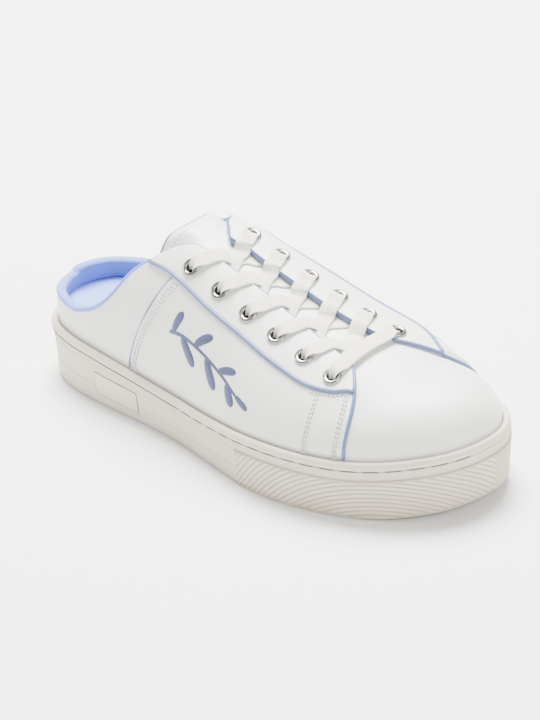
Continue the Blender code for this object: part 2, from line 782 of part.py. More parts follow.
def eyelet_mesh(material):
    """Half section of an eyelet, turned about its axis by a modifier."""
    profile = (
        (BORE_RADIUS + 0.5 * MM, FLANGE_HEIGHT + GAP),
        (FLANGE_RADIUS - 0.5 * MM, 0.75 * FLANGE_HEIGHT + GAP),
        (FLANGE_RADIUS, 1.5 * GAP),
        (BARREL_RADIUS, 1.5 * GAP),
        (BARREL_RADIUS, -BARREL_DROP),
        (BORE_RADIUS, -BARREL_DROP),
    )
    mesh = bpy.data.meshes.new("eyelet")
    count = len(profile)
    mesh.from_pydata([(r, 0, z) for r, z in profile], [(i, (i + 1) % count) for i in range(count)], [])
    mesh.materials.append(material)
    return mesh


def eyelets(material):
    mesh = eyelet_mesh(material)
    objects = []
    for (row, i), place in eyelet_places().items():
        obj = bpy.data.objects.new(f"eyelet_{row}_{i + 1}", mesh)
        obj.matrix_world = eyelet_matrix(place)
        turned = obj.modifiers.new("Turn", "SCREW")
        turned.steps = turned.render_steps = EYELET_SIDES
        turned.use_merge_vertices = True
        turned.merge_threshold = 1e-5
        turned.use_smooth_shade = True
        objects.append(obj)
    return objects


def eyelet_cutters():
    cutters = []
    for (row, i), place in eyelet_places().items():
        mesh = bpy.data.meshes.new("eyelet_cut")
        bm = bmesh.new()
        bmesh.ops.create_cone(
            bm, cap_ends=True, segments=EYELET_SIDES, radius1=BARREL_RADIUS + GAP, radius2=BARREL_RADIUS + GAP, depth=12 * MM
        )
        bm.to_mesh(mesh)
        bm.free()
        obj = bpy.data.objects.new(f"eyelet_cut_{row}_{i + 1}", mesh)
        obj.matrix_world = eyelet_matrix(place)
        cutters.append(obj)
    return cutters


def lace_band(name, start, end, height, material):
    """A flat band between two places in plan whose cross sections lie along the throat."""
    half = half_share(end - start)
    sections = []
    for part in np.linspace(0, 1, 9):
        share, across = start + (end - start) * part
        middle = height(part)
        section = []
        for along, out in ((-1, -1), (1, -1), (1, 1), (-1, 1)):
            section.append(drape(share + along * half, across, middle + out * LACE_THICKNESS / 2)[0])
        sections.append(section)
    points, faces = loft(sections)
    return make_object(name, points, faces, material)


def half_share(run):
    """Half of the width of a band, read along the shoe, as a share of its length."""
    run = run * (SOLE_LENGTH, FOREFOOT_WIDTH)
    return LACE_WIDTH / 2 * np.linalg.norm(run) / abs(run[1]) / SOLE_LENGTH


def lace_ends(places, low_row, high_row, i):
    """A band comes from under one eyestay, below its eyelet, and ends over the other, at the next one up."""
    hidden = np.array(places[low_row, i + 1])
    shown = np.array(places[high_row, i])
    run = shown - hidden
    low_side, high_side = (OUTER, INNER) if low_row == "outer" else (INNER, OUTER)
    inside = LACE_INSIDE * high_side
    front = share_at(column_head(turn_at(VAMP_SEAM))) - half_share(run) - 2 * GAP / SOLE_LENGTH
    start = hidden
    for _ in range(6):
        part = ((throat_edge(low_side, start[0]) + inside) / FOREFOOT_WIDTH - hidden[1]) / run[1]
        part = max(part, (front - hidden[0]) / run[0])
        start = hidden + run * part
    length = np.linalg.norm(run * (SOLE_LENGTH, FOREFOOT_WIDTH))
    end = shown - run * LACE_STOP / length
    edge = (throat_edge(high_side, end[0]) / FOREFOOT_WIDTH - start[1]) / (end[1] - start[1])
    return start, end, edge


def lace(material):
    places = eyelet_places()
    above = QUARTER_STEP + EYESTAY_STEP + 1.2 * GAP + LACE_THICKNESS / 2
    below = -WALL + LACE_THICKNESS / 2
    crossings = []
    tools = []
    for i in range(EYELETS - 1):
        pair = []
        for low_row, high_row, hump in (("inner", "outer", 0.0), ("outer", "inner", LACE_THICKNESS * 0.9)):
            start, end, edge = lace_ends(places, low_row, high_row, i)

            def height(part, edge=edge, hump=hump):
                climb = ease(part / (edge * 0.9))
                over = np.clip(part / (edge * 0.9), 0, 1)
                return below + (above - below) * climb + hump * 4 * over * (1 - over)

            name = f"lace_crossing_{i + 1}" if hump == 0 else f"lace_crossing_tool_{i + 1}"
            pair.append(lace_band(name, start, end, height, material))
        joined = pair[0].modifiers.new("Join", "BOOLEAN")
        joined.operation = "UNION"
        joined.object = pair[1]
        crossings.append(pair[0])
        tools.append(pair[1])
    low = np.array(places["outer", EYELETS - 1])
    high = np.array(places["inner", EYELETS - 1])
    run = high - low
    stop = LACE_STOP / np.linalg.norm(run * (SOLE_LENGTH, FOREFOOT_WIDTH))
    bar = lace_band("lace_bar", low + run * stop, high - run * stop, lambda part: above, material)
    return crossings + [bar], tools


def make_material(name, colour, roughness, metallic):
    material = bpy.data.materials.new(name)
    material.use_nodes = True
    shader = material.node_tree.nodes["Principled BSDF"]
    shader.inputs["Base Color"].default_value = (*colour, 1)
    shader.inputs["Roughness"].default_value = roughness
    shader.inputs["Metallic"].default_value = metallic
    material.diffuse_color = (*colour, 1)
    return material


def cut_with(obj, name, collection):
    cut = obj.modifiers.new(name, "BOOLEAN")
    cut.operation = "DIFFERENCE"
    cut.operand_type = "COLLECTION"
    cut.collection = collection


def cutter_collection(parent, name, objects):
    made = bpy.data.collections.new(name)
    parent.children.link(made)
    for obj in objects:
        made.objects.link(obj)
        obj.hide_render = True
        obj.display_type = "WIRE"
    return made


def main():
    for obj in list(bpy.data.objects):
        bpy.data.objects.remove(obj)
    scene = bpy.context.scene
    shoe = bpy.data.collections.new("sneaker")
    cutters = bpy.data.collections.new("cutters")
    scene.collection.children.link(shoe)
    scene.collection.children.link(cutters)
    looks = {name: make_material(name, *values) for name, values in MATERIALS.items()}

    cup = sole(looks["sole_rubber"])
    plate = plate_patch("side_plate", 0.0, PLATE_THICKNESS, 0.0, looks["plate_metal"])
    pocket = plate_patch("plate_pocket", GAP, PLATE_THICKNESS + GAP, -2 * MM, looks["sole_rubber"])
    body = upper(looks["white_leather"])
    bands, band_tools = lace(looks["cotton_lace"])
    pieces = [
        cup,
        plate,
        body,
        insole(looks["blue_lining"]),
        collar(looks["blue_lining"]),
        tongue(looks["white_leather"]),
        *bands,
        *eyelets(looks["eyelet_metal"]),
    ]
    cut_with(cup, "Tread and plate pocket", cutter_collection(cutters, "sole_cutters", [*tread_cutters(), pocket]))
    cut_with(body, "Eyelet holes", cutter_collection(cutters, "upper_cutters", eyelet_cutters()))
    cutter_collection(cutters, "lace_tools", band_tools)

    root = bpy.data.objects.new("sneaker_right", None)
    shoe.objects.link(root)
    for piece in pieces:
        shoe.objects.link(piece)
        piece.parent = root


main()
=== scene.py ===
"""The look of a backless lace-up sneaker: camera, light, surfaces, trim and laces.

Metres, +X to the toe, +Y to the inner side of the right foot, +Z up, origin on the floor under the middle
of the shoe. The form functions are those of the shoe's own design, read here at a finer step.
"""

import functools
import json

import bmesh
import bpy
import numpy as np
from mathutils import Matrix, Vector

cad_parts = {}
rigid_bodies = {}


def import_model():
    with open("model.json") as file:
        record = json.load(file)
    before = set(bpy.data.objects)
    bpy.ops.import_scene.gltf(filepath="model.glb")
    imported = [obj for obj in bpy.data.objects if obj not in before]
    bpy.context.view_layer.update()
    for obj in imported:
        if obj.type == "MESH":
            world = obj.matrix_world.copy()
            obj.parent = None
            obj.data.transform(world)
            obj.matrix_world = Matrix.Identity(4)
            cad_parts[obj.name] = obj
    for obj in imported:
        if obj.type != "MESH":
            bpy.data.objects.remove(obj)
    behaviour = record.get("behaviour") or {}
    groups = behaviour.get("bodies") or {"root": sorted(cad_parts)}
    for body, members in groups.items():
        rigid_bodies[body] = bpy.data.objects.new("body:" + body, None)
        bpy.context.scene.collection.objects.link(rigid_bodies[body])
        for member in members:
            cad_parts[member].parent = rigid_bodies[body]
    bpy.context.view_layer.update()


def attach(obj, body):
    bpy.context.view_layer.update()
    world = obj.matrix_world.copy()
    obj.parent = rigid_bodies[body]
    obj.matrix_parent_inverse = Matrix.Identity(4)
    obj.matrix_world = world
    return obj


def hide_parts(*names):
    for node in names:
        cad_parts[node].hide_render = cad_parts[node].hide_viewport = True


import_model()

MM = 0.001
SOLE_LENGTH = 276 * MM
FOREFOOT_WIDTH = 101.7 * MM
INSTEP_HEIGHT = 94 * MM
SIDE_HEIGHT = 31 * MM
TOE_SPRING = 5.6 * MM
SPRING_START = 0.8
LIP_WIDTH = 3.7 * MM
LIP_HEIGHT = 4.2 * MM
BAND_HEIGHT = 4.8 * MM
BAND_INSET = 0.9 * MM
CUP_DEPTH = 6 * MM
GAP = 0.3 * MM
SOLE_CLEARANCE = 0.3 * MM
HEEL_FAN = 0.12
TOE_FAN = 0.86
WALL = 1.4 * MM
HEEL_STEP = 0.4 * MM
QUARTER_STEP = 1.0 * MM
EYESTAY_STEP = 0.9 * MM
STAY_START = 0.295
STAY_RISE = 0.06
SOLE_FADE = 0.08
FACE = QUARTER_STEP + EYESTAY_STEP
EYELETS = 6

# Share of the length from the heel, then the outer and inner edge as shares of the forefoot width
OUTLINE = (
    (0.000, 0.034, 0.034),
    (0.050, -0.219, 0.299),
    (0.100, -0.272, 0.356),
    (0.200, -0.314, 0.380),
    (0.300, -0.337, 0.364),
    (0.400, -0.373, 0.359),
    (0.500, -0.434, 0.400),
    (0.600, -0.488, 0.457),
    (0.670, -0.500, 0.486),
    (0.750, -0.480, 0.500),
    (0.820, -0.434, 0.490),
    (0.880, -0.364, 0.452),
    (0.940, -0.247, 0.375),
    (0.980, -0.116, 0.270),
    (1.000, 0.103, 0.103),
)

# Share of the length, lip height as a share of the side height, inset of the bottom edge in mm
SIDE = (
    (0.00, 1.01, 0.0),
    (0.15, 0.965, 0.2),
    (0.40, 0.82, 0.8),
    (0.65, 0.945, 0.4),
    (0.85, 1.00, 2.0),
    (1.00, 1.14, 2.7),
)

# Share of the length, ridge's place across and its height as shares of the forefoot width and the instep
# height, roundness of the outer and inner half of the section, belly of the inner side in mm
SECTIONS = (
    (0.10, 0.034, 0.70, 2.50, 2.5, 0.0),
    (0.20, 0.034, 0.89, 2.20, 3.8, 2.0),
    (0.30, 0.034, 0.99, 2.10, 5.0, 3.5),
    (0.40, 0.034, 1.00, 2.05, 5.5, 4.0),
    (0.46, 0.032, 0.942, 1.95, 5.0, 3.5),
    (0.53, 0.030, 0.872, 1.83, 4.4, 2.8),
    (0.60, 0.029, 0.806, 1.78, 3.6, 2.0),
    (0.66, 0.030, 0.757, 1.75, 3.2, 1.2),
    (0.725, 0.031, 0.713, 1.80, 3.0, 0.8),
    (0.80, 0.040, 0.662, 1.95, 2.7, 0.4),
    (0.86, 0.059, 0.606, 2.25, 2.25, 0.0),
)

# Each column of the upper: its foot on the outer and on the inner side and its head, as shares of the
# length, and the power of its lean: at 1 it is straight, and over 1 it bends near the head
COLUMNS = (
    (0.00, 0.00, 0.00, 1.0),
    (0.05, 0.05, 0.05, 1.0),
    (0.12, 0.12, 0.13, 1.0),
    (0.19, 0.19, 0.24, 0.9),
    (0.24, 0.24, 0.328, 0.75),
    (0.269, 0.269, 0.425, 0.58),
    (0.35, 0.355, 0.480, 0.9),
    (0.50, 0.515, 0.56, 1.6),
    (0.62, 0.645, 0.63, 2.2),
    (0.70, 0.735, 0.68, 2.8),
    (0.78, 0.820, 0.735, 3.3),
    (0.823, 0.865, 0.757, 3.6),
    (0.87, 0.905, 0.81, 3.0),
    (0.92, 0.940, 0.88, 2.0),
    (1.00, 1.00, 1.00, 1.0),
)
HEEL_SEAM = 0.269
VAMP_SEAM = 0.823

# Share of the length and how far up the section the free edge runs, on the outer and the inner side
TOP_EDGE = (
    (0.00, 0.170, 0.170),
    (0.05, 0.190, 0.155),
    (0.10, 0.178, 0.165),
    (0.145, 0.200, 0.178),
    (0.182, 0.246, 0.215),
    (0.204, 0.298, 0.262),
    (0.229, 0.380, 0.330),
    (0.250, 0.470, 0.395),
    (0.269, 0.545, 0.445),
    (0.300, 0.630, 0.500),
    (0.330, 0.725, 0.545),
    (0.344, 0.762, 0.600),
    (0.360, 0.800, 0.705),
    (0.378, 0.838, 0.900),
    (0.400, 0.850, 0.975),
    (0.450, 0.852, 0.986),
    (0.550, 0.851, 0.982),
    (0.600, 0.838, 0.973),
    (0.650, 0.823, 0.966),
    (0.700, 0.800, 0.957),
    (0.760, 0.775, 0.936),
    (1.000, 0.775, 0.936),
)

# Share of the length and how far up the section the lower edge of the eyestay runs, outer and inner side
STAY_EDGE = (
    (0.00, 0.120, 0.120),
    (0.20, 0.200, 0.180),
    (0.300, 0.600, 0.440),
    (0.330, 0.610, 0.455),
    (0.360, 0.597, 0.480),
    (0.392, 0.577, 0.505),
    (0.450, 0.558, 0.530),
    (0.550, 0.551, 0.530),
    (0.650, 0.524, 0.520),
    (0.720, 0.510, 0.520),
    (0.750, 0.525, 0.530),
    (0.770, 0.547, 0.560),
    (0.790, 0.588, 0.600),
    (0.810, 0.600, 0.640),
    (1.000, 0.600, 0.640),
)

# First and last eyelet of each row: share of the length, place across as a share of the forefoot width
EYELET_ROWS = {
    "outer": ((0.402, -0.144), (0.748, -0.216)),
    "inner": ((0.432, 0.171), (0.757, 0.190)),
}

OUTER = -1
INNER = 1


@functools.lru_cache(maxsize=None)
def column(table, index):
    return np.array([row[index] for row in table], float)


@functools.lru_cache(maxsize=None)
def slopes_of(keys, values):
    return np.gradient(np.frombuffer(values), np.frombuffer(keys))


def clip(value, low, high):
    return np.minimum(np.maximum(value, low), high)


def smooth(keys, values, at):
    """A curve with no corners through the given values, read at one key or at an array of them."""
    keys = np.asarray(keys, float)
    values = np.asarray(values, float)
    slopes = slopes_of(keys.tobytes(), values.tobytes())
    at = clip(at, keys[0], keys[-1])
    i = np.minimum(np.maximum(keys.searchsorted(at, side="right") - 1, 0), len(keys) - 2)
    width = keys[i + 1] - keys[i]
    t = (at - keys[i]) / width
    return (
        (1 + 2 * t) * (1 - t) ** 2 * values[i]
        + t * (1 - t) ** 2 * width * slopes[i]
        + t * t * (3 - 2 * t) * values[i + 1]
        - t * t * (1 - t) * width * slopes[i + 1]
    )


def ease(value):
    value = clip(value, 0, 1)
    return value * value * (3 - 2 * value)


def turn_at(share):
    """Where along the outline a share of the length lies: 0 at the heel, pi at the toe."""
    return np.arccos(1 - 2 * clip(share, 0, 1))


def share_at(turn):
    return (1 - np.cos(turn)) / 2


# The sole's outline and heights


def outline(side, turn, inset=0.0):
    """Points (x, y) on the sole's outline, moved in by a distance along its own normal."""
    turn = np.asarray(turn, float)
    step = 1e-4
    edge = column(OUTLINE, 1 if side == OUTER else 2) * FOREFOOT_WIDTH

    def on_edge(at):
        across = smooth(turn_at(column(OUTLINE, 0)), edge, at)
        return np.stack([(share_at(at) - 0.5) * SOLE_LENGTH, across], -1)

    along = on_edge(np.minimum(turn + step, np.pi)) - on_edge(np.maximum(turn - step, 0))
    normal = side * np.stack([-along[..., 1], along[..., 0]], -1)
    normal /= np.linalg.norm(normal, axis=-1)[..., None]
    normal = np.where((turn < step)[..., None], (-1.0, 0.0), normal)
    normal = np.where((turn > np.pi - step)[..., None], (1.0, 0.0), normal)
    return on_edge(turn) - normal * np.asarray(inset)[..., None]


def lip_top(share):
    return smooth(column(SIDE, 0), column(SIDE, 1), share) * SIDE_HEIGHT


def cup_floor(share):
    return lip_top(share) - CUP_DEPTH


def ground_clearance(share):
    return TOE_SPRING * clip((share - SPRING_START) / (1 - SPRING_START), 0, 1) ** 2


def wall_inset(share, height):
    """How far the smooth side wall stands inside the outline at a height above the floor."""
    low = ground_clearance(share)
    top = lip_top(share) - LIP_HEIGHT - BAND_HEIGHT
    edge = smooth(column(SIDE, 0), column(SIDE, 2), share) * MM
    return edge * (1 - clip((height - low) / (top - low), 0, 1))


# The last: the outer face of the upper


def girth_point(side, turn, rise):
    """A point of the last: rise is 0 at the lip of the sole and 1 on the ridge."""
    turn = np.asarray(turn, float)
    rise = np.asarray(rise, float)
    foot = outline(side, turn, LIP_WIDTH + SOLE_CLEARANCE)
    share = share_at(turn)
    ridge_share = clip(share, HEEL_FAN, TOE_FAN)
    keys = column(SECTIONS, 0)
    ridge_y = smooth(keys, column(SECTIONS, 1), ridge_share) * FOREFOOT_WIDTH
    ridge_z = smooth(keys, column(SECTIONS, 2), ridge_share) * INSTEP_HEIGHT
    power = 2 / smooth(keys, column(SECTIONS, 3 if side == OUTER else 4), ridge_share)
    belly = smooth(keys, column(SECTIONS, 5), ridge_share) * MM * (side == INNER)
    lip = lip_top(share)
    angle = clip(rise, 0, 1) * np.pi / 2
    inward = np.where(rise < 1, 1 - np.cos(angle) ** power, 1.0)
    upward = np.where(rise < 1, np.sin(angle) ** power, 1.0)
    bulge = np.where(rise < 1, belly * np.sin(np.pi * upward) * np.sqrt(np.cos(angle)), 0.0)
    ridge_x = (ridge_share - 0.5) * SOLE_LENGTH
    return np.stack(
        [
            foot[..., 0] * (1 - inward) + ridge_x * inward,
            foot[..., 1] * (1 - inward) + ridge_y * inward + bulge,
            lip + (ridge_z - lip) * upward,
        ],
        -1,
    )


def last_point(side, turn, rise, out=0.0):
    """A point of the last moved out along its normal. A rise under 0 goes down inside the cup."""
    turn = clip(np.asarray(turn, float), 0, np.pi)
    rise, turn = np.broadcast_arrays(np.asarray(rise, float), turn)
    step = 2e-3
    inside_turn = clip(turn, step, np.pi - step)
    inside_rise = clip(rise, step, 1 - step)
    along = girth_point(side, inside_turn + step, inside_rise) - girth_point(side, inside_turn - step, inside_rise)
    up = girth_point(side, inside_turn, inside_rise + step) - girth_point(side, inside_turn, inside_rise - step)
    normal = np.cross(up, along) * side
    normal /= np.linalg.norm(normal, axis=-1)[..., None]
    flat = outline(side, turn) - outline(side, turn, MM)
    flat = np.concatenate([flat / MM, np.zeros(flat.shape[:-1] + (1,))], -1)
    ridge_share = clip(share_at(turn), HEEL_FAN, TOE_FAN)
    slope = smooth(column(SECTIONS, 0), np.gradient(column(SECTIONS, 2), column(SECTIONS, 0)), ridge_share)
    crest = np.stack([-slope * INSTEP_HEIGHT / SOLE_LENGTH, np.zeros_like(slope), np.ones_like(slope)], -1)
    crest /= np.linalg.norm(crest, axis=-1)[..., None]
    normal = np.where((rise < step)[..., None], flat, normal)
    normal = np.where((rise > 1 - step)[..., None], crest, normal)
    point = girth_point(side, turn, rise) + normal * np.asarray(out)[..., None]
    drop = clip(-rise, 0, 1) * (CUP_DEPTH - GAP)
    point[..., 2] -= drop
    return point


def drape(shares, across, out=0.0):
    """Points over places in plan, and their normals: across is a share of the forefoot width."""
    shares, across, out = (a.astype(float) for a in np.broadcast_arrays(shares, across, out))
    points, normals = np.zeros((len(shares), 3)), np.zeros((len(shares), 3))
    outer = across < smooth(column(SECTIONS, 0), column(SECTIONS, 1), shares)
    rises = np.linspace(0.25, 1, 80)
    for side in (OUTER, INNER):
        chosen = np.flatnonzero(outer == (side == OUTER))
        if not len(chosen):
            continue
        turns = turn_at(shares[chosen])
        track = -girth_point(side, turns[:, None], rises[None])[..., 1] * side
        wanted = -across[chosen] * FOREFOOT_WIDTH * side
        at = np.array([np.interp(y, line, rises) for y, line in zip(wanted, track)])
        base = last_point(side, turns, at)
        normals[chosen] = (last_point(side, turns, at, MM) - base) / MM
        points[chosen] = base + normals[chosen] * out[chosen, None]
    return points, normals


def even_rises(side, turn, first, last, count):
    """Rises that cut a stretch of the section into pieces of equal length."""
    rises = np.linspace(first, last, 300)
    path = girth_point(side, np.full(300, turn), rises)
    lengths = np.concatenate([[0], np.cumsum(np.linalg.norm(np.diff(path, axis=0), axis=1))])
    return np.interp(np.linspace(0, lengths[-1], count + 1), lengths, rises)


def edge_rise(table, side, turn):
    return smooth(column(table, 0), column(table, 1 if side == OUTER else 2), share_at(turn))


def ring_stations(turns):
    """Stations right round the shoe: up the outer side to the toe and back down the inner side."""
    return [(OUTER, t) for t in turns] + [(INNER, t) for t in turns[-2:0:-1]]


# Shaders


class Shade:
    """A number or colour that varies over a surface. Arithmetic on numbers adds Math nodes."""

    def __init__(self, paint, socket):
        self.paint = paint
        self.socket = socket

    def math(self, operation, first, second=None):
        values = {0: first} if second is None else {0: first, 1: second}
        return self.paint.node("ShaderNodeMath", {"operation": operation}, values)

    def __add__(self, other):
        return self.math("ADD", self, other)

    def __mul__(self, other):
        return self.math("MULTIPLY", self, other)

    def __abs__(self):
        return self.math("ABSOLUTE", self)

    __radd__ = __add__
    __rmul__ = __mul__

    def wave(self):
        return self.math("SINE", self)

    def band(self, low, high):
        """Rises from 0 to 1 between two values."""
        values = {"Value": self, "From Min": low, "From Max": high}
        return self.paint.node("ShaderNodeMapRange", {"interpolation_type": "SMOOTHSTEP"}, values)


class Paint:
    """A material with one Principled shader."""

    def __init__(self, name, colour, roughness, metallic=0.0, coat=0.0, coat_roughness=0.2, sheen=0.0, specular=0.5):
        self.material = bpy.data.materials.new(name)
        self.material.use_nodes = True
        self.tree = self.material.node_tree
        self.shader = self.tree.nodes["Principled BSDF"]
        self.colour = colour
        self.put("Base Color", (*colour, 1))
        self.put("Roughness", roughness)
        self.put("Metallic", metallic)
        self.put("Coat Weight", coat)
        self.put("Coat Roughness", coat_roughness)
        self.put("Sheen Weight", sheen)
        self.put("Specular IOR Level", specular)
        self.material.diffuse_color = (*colour, 1)

    def put(self, name, value):
        socket = self.shader.inputs[name]
        if isinstance(value, Shade):
            self.tree.links.new(value.socket, socket)
        else:
            socket.default_value = value

    def node(self, kind, settings=None, values=None, output=0):
        made = self.tree.nodes.new(kind)
        for name, value in (settings or {}).items():
            setattr(made, name, value)
        for name, value in (values or {}).items():
            socket = made.inputs[name]
            if isinstance(value, Shade):
                self.tree.links.new(value.socket, socket)
            else:
                socket.default_value = value
        return Shade(self, made.outputs[output])

    def place(self):
        return self.node("ShaderNodeTexCoord", output=3)

    def noise(self, scale, detail=3.0, roughness=0.5):
        values = {"Vector": self.place(), "Scale": scale, "Detail": detail, "Roughness": roughness}
        return self.node("ShaderNodeTexNoise", {}, values)

    def cells(self, scale, feature="F1"):
        return self.node("ShaderNodeTexVoronoi", {"feature": feature}, {"Vector": self.place(), "Scale": scale})

    def mix(self, factor, first, second):
        """A colour between two others."""
        return self.node("ShaderNodeMix", {"data_type": "RGBA"}, {0: factor, 6: first, 7: second}, output=2)

    def bump(self, height, strength, distance):
        values = {"Height": height, "Strength": strength, "Distance": distance}
        self.put("Normal", self.node("ShaderNodeBump", {}, values))

    def cloud(self, dark, scale, amount):
        """Base colour that drifts a little towards a darker one."""
        drift = self.noise(scale, 2.0).band(0.35, 0.75) * amount
        self.put("Base Color", self.mix(drift, (*self.colour, 1), (*dark, 1)))


def leather_paint():
    paint = Paint("white_leather", (0.78, 0.785, 0.745), 0.42, coat=0.12, coat_roughness=0.35)
    pores = paint.cells(1500, "DISTANCE_TO_EDGE").band(0.0, 0.10)
    soft = paint.noise(260, 4.0, 0.6)
    paint.bump(pores * 0.55 + soft * 0.8, 0.16, 0.0004)
    paint.put("Roughness", 0.37 + paint.noise(40, 3.0) * 0.12)
    paint.cloud((0.72, 0.725, 0.68), 14, 0.5)
    return paint.material


def rubber_paint():
    paint = Paint("sole_rubber", (0.63, 0.56, 0.45), 0.5)
    paint.bump(paint.noise(900, 4.0, 0.6) + paint.noise(120, 2.0) * 0.5, 0.10, 0.0003)
    paint.put("Roughness", 0.45 + paint.noise(30, 3.0) * 0.16)
    paint.cloud((0.57, 0.50, 0.39), 11, 0.6)
    return paint.material


def trim_paint():
    paint = Paint("periwinkle_trim", (0.10, 0.145, 0.32), 0.42, coat=0.1)
    paint.bump(paint.cells(1800, "DISTANCE_TO_EDGE").band(0.0, 0.12), 0.12, 0.0003)
    paint.cloud((0.08, 0.12, 0.275), 40, 0.7)
    return paint.material


def ink_paint():
    paint = Paint("periwinkle_ink", (0.037, 0.05, 0.122), 0.5)
    paint.bump(paint.cells(1500, "DISTANCE_TO_EDGE").band(0.0, 0.10), 0.10, 0.0003)
    paint.cloud((0.055, 0.073, 0.165), 60, 0.8)
    return paint.material


def lining_paint():
    paint = Paint("blue_lining", (0.155, 0.235, 0.66), 0.78, sheen=0.25)
    paint.bump(paint.cells(1300) * 0.8 + paint.noise(300, 3.0) * 0.5, 0.25, 0.0004)
    paint.cloud((0.14, 0.225, 0.66), 30, 0.7)
    return paint.material


def padding_paint():
    paint = Paint("footbed_cloth", (0.27, 0.37, 0.76), 0.8, sheen=0.2)
    paint.bump(paint.cells(1100) + paint.noise(500, 3.0) * 0.5, 0.22, 0.0004)
    paint.cloud((0.22, 0.31, 0.70), 22, 0.7)
    return paint.material


def lace_paint():
    paint = Paint("cotton_lace", (0.80, 0.765, 0.665), 0.85, sheen=0.3)
    across = paint.node("ShaderNodeUVMap", {"uv_map": "weave"})
    u, v = (paint.node("ShaderNodeSeparateXYZ", {}, {0: across}, output=axis) for axis in (0, 1))
    ribs = abs((u * 3300).wave())
    strands = abs(((v + abs(u) * 0.7) * 3600).wave())
    paint.bump(ribs * 0.6 + strands, 0.35, 0.00022)
    paint.put("Base Color", paint.mix(strands * 0.25, (0.80, 0.765, 0.665, 1), (0.62, 0.58, 0.48, 1)))
    return paint.material


def thread_paint():
    paint = Paint("white_thread", (0.80, 0.80, 0.77), 0.7, sheen=0.2)
    paint.bump((paint.noise(2500, 2.0)), 0.2, 0.0001)
    return paint.material


def metal_paint(name, colour, roughness, metallic):
    paint = Paint(name, colour, roughness, metallic=metallic)
    paint.put("Roughness", roughness + paint.noise(160, 3.0) * 0.12)
    paint.bump(paint.noise(700, 3.0), 0.04, 0.0002)
    return paint.material


LOOKS = {
    "leather": leather_paint(),
    "rubber": rubber_paint(),
    "trim": trim_paint(),
    "ink": ink_paint(),
    "lining": lining_paint(),
    "footbed": padding_paint(),
    "lace": lace_paint(),
    "thread": thread_paint(),
    "eyelet": metal_paint("eyelet_metal", (0.42, 0.41, 0.39), 0.14, 1.0),
    # dark slate for the thin lines beside the eyestay piping: painted shadow
    "seam": Paint("piping_shadow_paint", (0.05, 0.065, 0.13), 0.8).material,
    # darker rubber for the faces down in the rib grooves: painted shade
    "groove": Paint("rib_groove_shade", (0.40, 0.345, 0.27), 0.7).material,
    # dark taupe: painted shade in the sole's groove and round the side plate
    "taupe": Paint("groove_shade", (0.16, 0.135, 0.105), 0.9).material,
    # grey for the needle holes: painted shade
    "hole_shade": Paint("shaded_hole", (0.30, 0.285, 0.26), 0.9).material,
    # near black for the inside of the eyelets: painted shade
    "dark": Paint("eyelet_bore_shade", (0.035, 0.03, 0.028), 0.9).material,
    "plate": metal_paint("plate_metal", (0.60, 0.54, 0.445), 0.32, 0.3),
}


# Mesh helpers


def piece(name, points, faces, look, nodes=(), angle=40, weave=None, extra=()):
    """A finished piece: a mesh with its material, riding on the shoe and standing for the nodes named."""
    mesh = bpy.data.meshes.new(name)
    mesh.from_pydata([tuple(map(float, p)) for p in points], [], [tuple(map(int, f)) for f in faces])
    if weave is not None:
        layer = mesh.uv_layers.new(name="weave")
        corners = np.empty(len(mesh.loops), np.int32)
        mesh.loops.foreach_get("vertex_index", corners)
        layer.data.foreach_set("uv", np.asarray(weave, np.float32)[corners].ravel())
    mesh.materials.append(LOOKS[look])
    chosen = np.zeros(len(mesh.polygons), np.int32)
    for number, (other, places) in enumerate(extra, 1):
        mesh.materials.append(LOOKS[other])
        chosen[places] = number
    mesh.polygons.foreach_set("material_index", chosen)
    bm = bmesh.new()
    bm.from_mesh(mesh)
    bmesh.ops.remove_doubles(bm, verts=bm.verts, dist=1e-6)
    bmesh.ops.recalc_face_normals(bm, faces=bm.faces)
    bm.to_mesh(mesh)
    bm.free()
    mesh.shade_smooth()
    mesh.set_sharp_from_angle(angle=np.radians(angle))
    made = bpy.data.objects.new(name, mesh)
    bpy.context.scene.collection.objects.link(made)
    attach(made, "root")
    if nodes:
        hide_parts(*nodes)
    return made


def grid_faces(rows, columns, first=0, close_rows=False, close_columns=False):
    faces = []
    for i in range(rows if close_rows else rows - 1):
        for j in range(columns if close_columns else columns - 1):
            a = first + i * columns
            b = first + ((i + 1) % rows) * columns
            k = (j + 1) % columns
            faces.append((a + j, a + k, b + k, b + j))
    return faces


def unit(vectors):
    vectors = np.asarray(vectors, float)
    return vectors / np.maximum(np.linalg.norm(vectors, axis=-1, keepdims=True), 1e-12)


def even_path(points, step):
    """The same path with its points a constant step apart."""
    points = np.asarray(points, float)
    lengths = np.concatenate([[0], np.cumsum(np.linalg.norm(np.diff(points[:, :3], axis=0), axis=1))])
    count = max(int(lengths[-1] / step), 2) + 1
    at = np.linspace(0, lengths[-1], count)
    return np.stack([np.interp(at, lengths, points[:, k]) for k in range(points.shape[1])], -1)


def tube_mesh(path, radius, sides=10, first=0):
    """Points and faces of a round cord with domed ends along a path."""
    path = np.asarray(path, float)
    along = unit(np.gradient(path, axis=0))
    across = unit(np.cross(along, (0.02, 0.03, 1.0)))
    up = np.cross(across, along)
    angles = np.arange(sides) * 2 * np.pi / sides
    radii = np.full(len(path), radius)
    radii[0] = radii[-1] = radius * 0.35
    rings = path[:, None] + radii[:, None, None] * (
        across[:, None] * np.cos(angles)[None, :, None] + up[:, None] * np.sin(angles)[None, :, None]
    )
    faces = grid_faces(len(path), sides, first, close_columns=True)
    faces.append(tuple(first + j for j in range(sides)))
    faces.append(tuple(first + (len(path) - 1) * sides + j for j in reversed(range(sides))))
    return rings.reshape(-1, 3), faces


def tubes(name, paths, radius, look, sides=10):
    points = []
    faces = []
    for path in paths:
        made, linked = tube_mesh(path, radius, sides, len(points))
        points.extend(made)
        faces.extend(linked)
    return piece(name, points, faces, look)


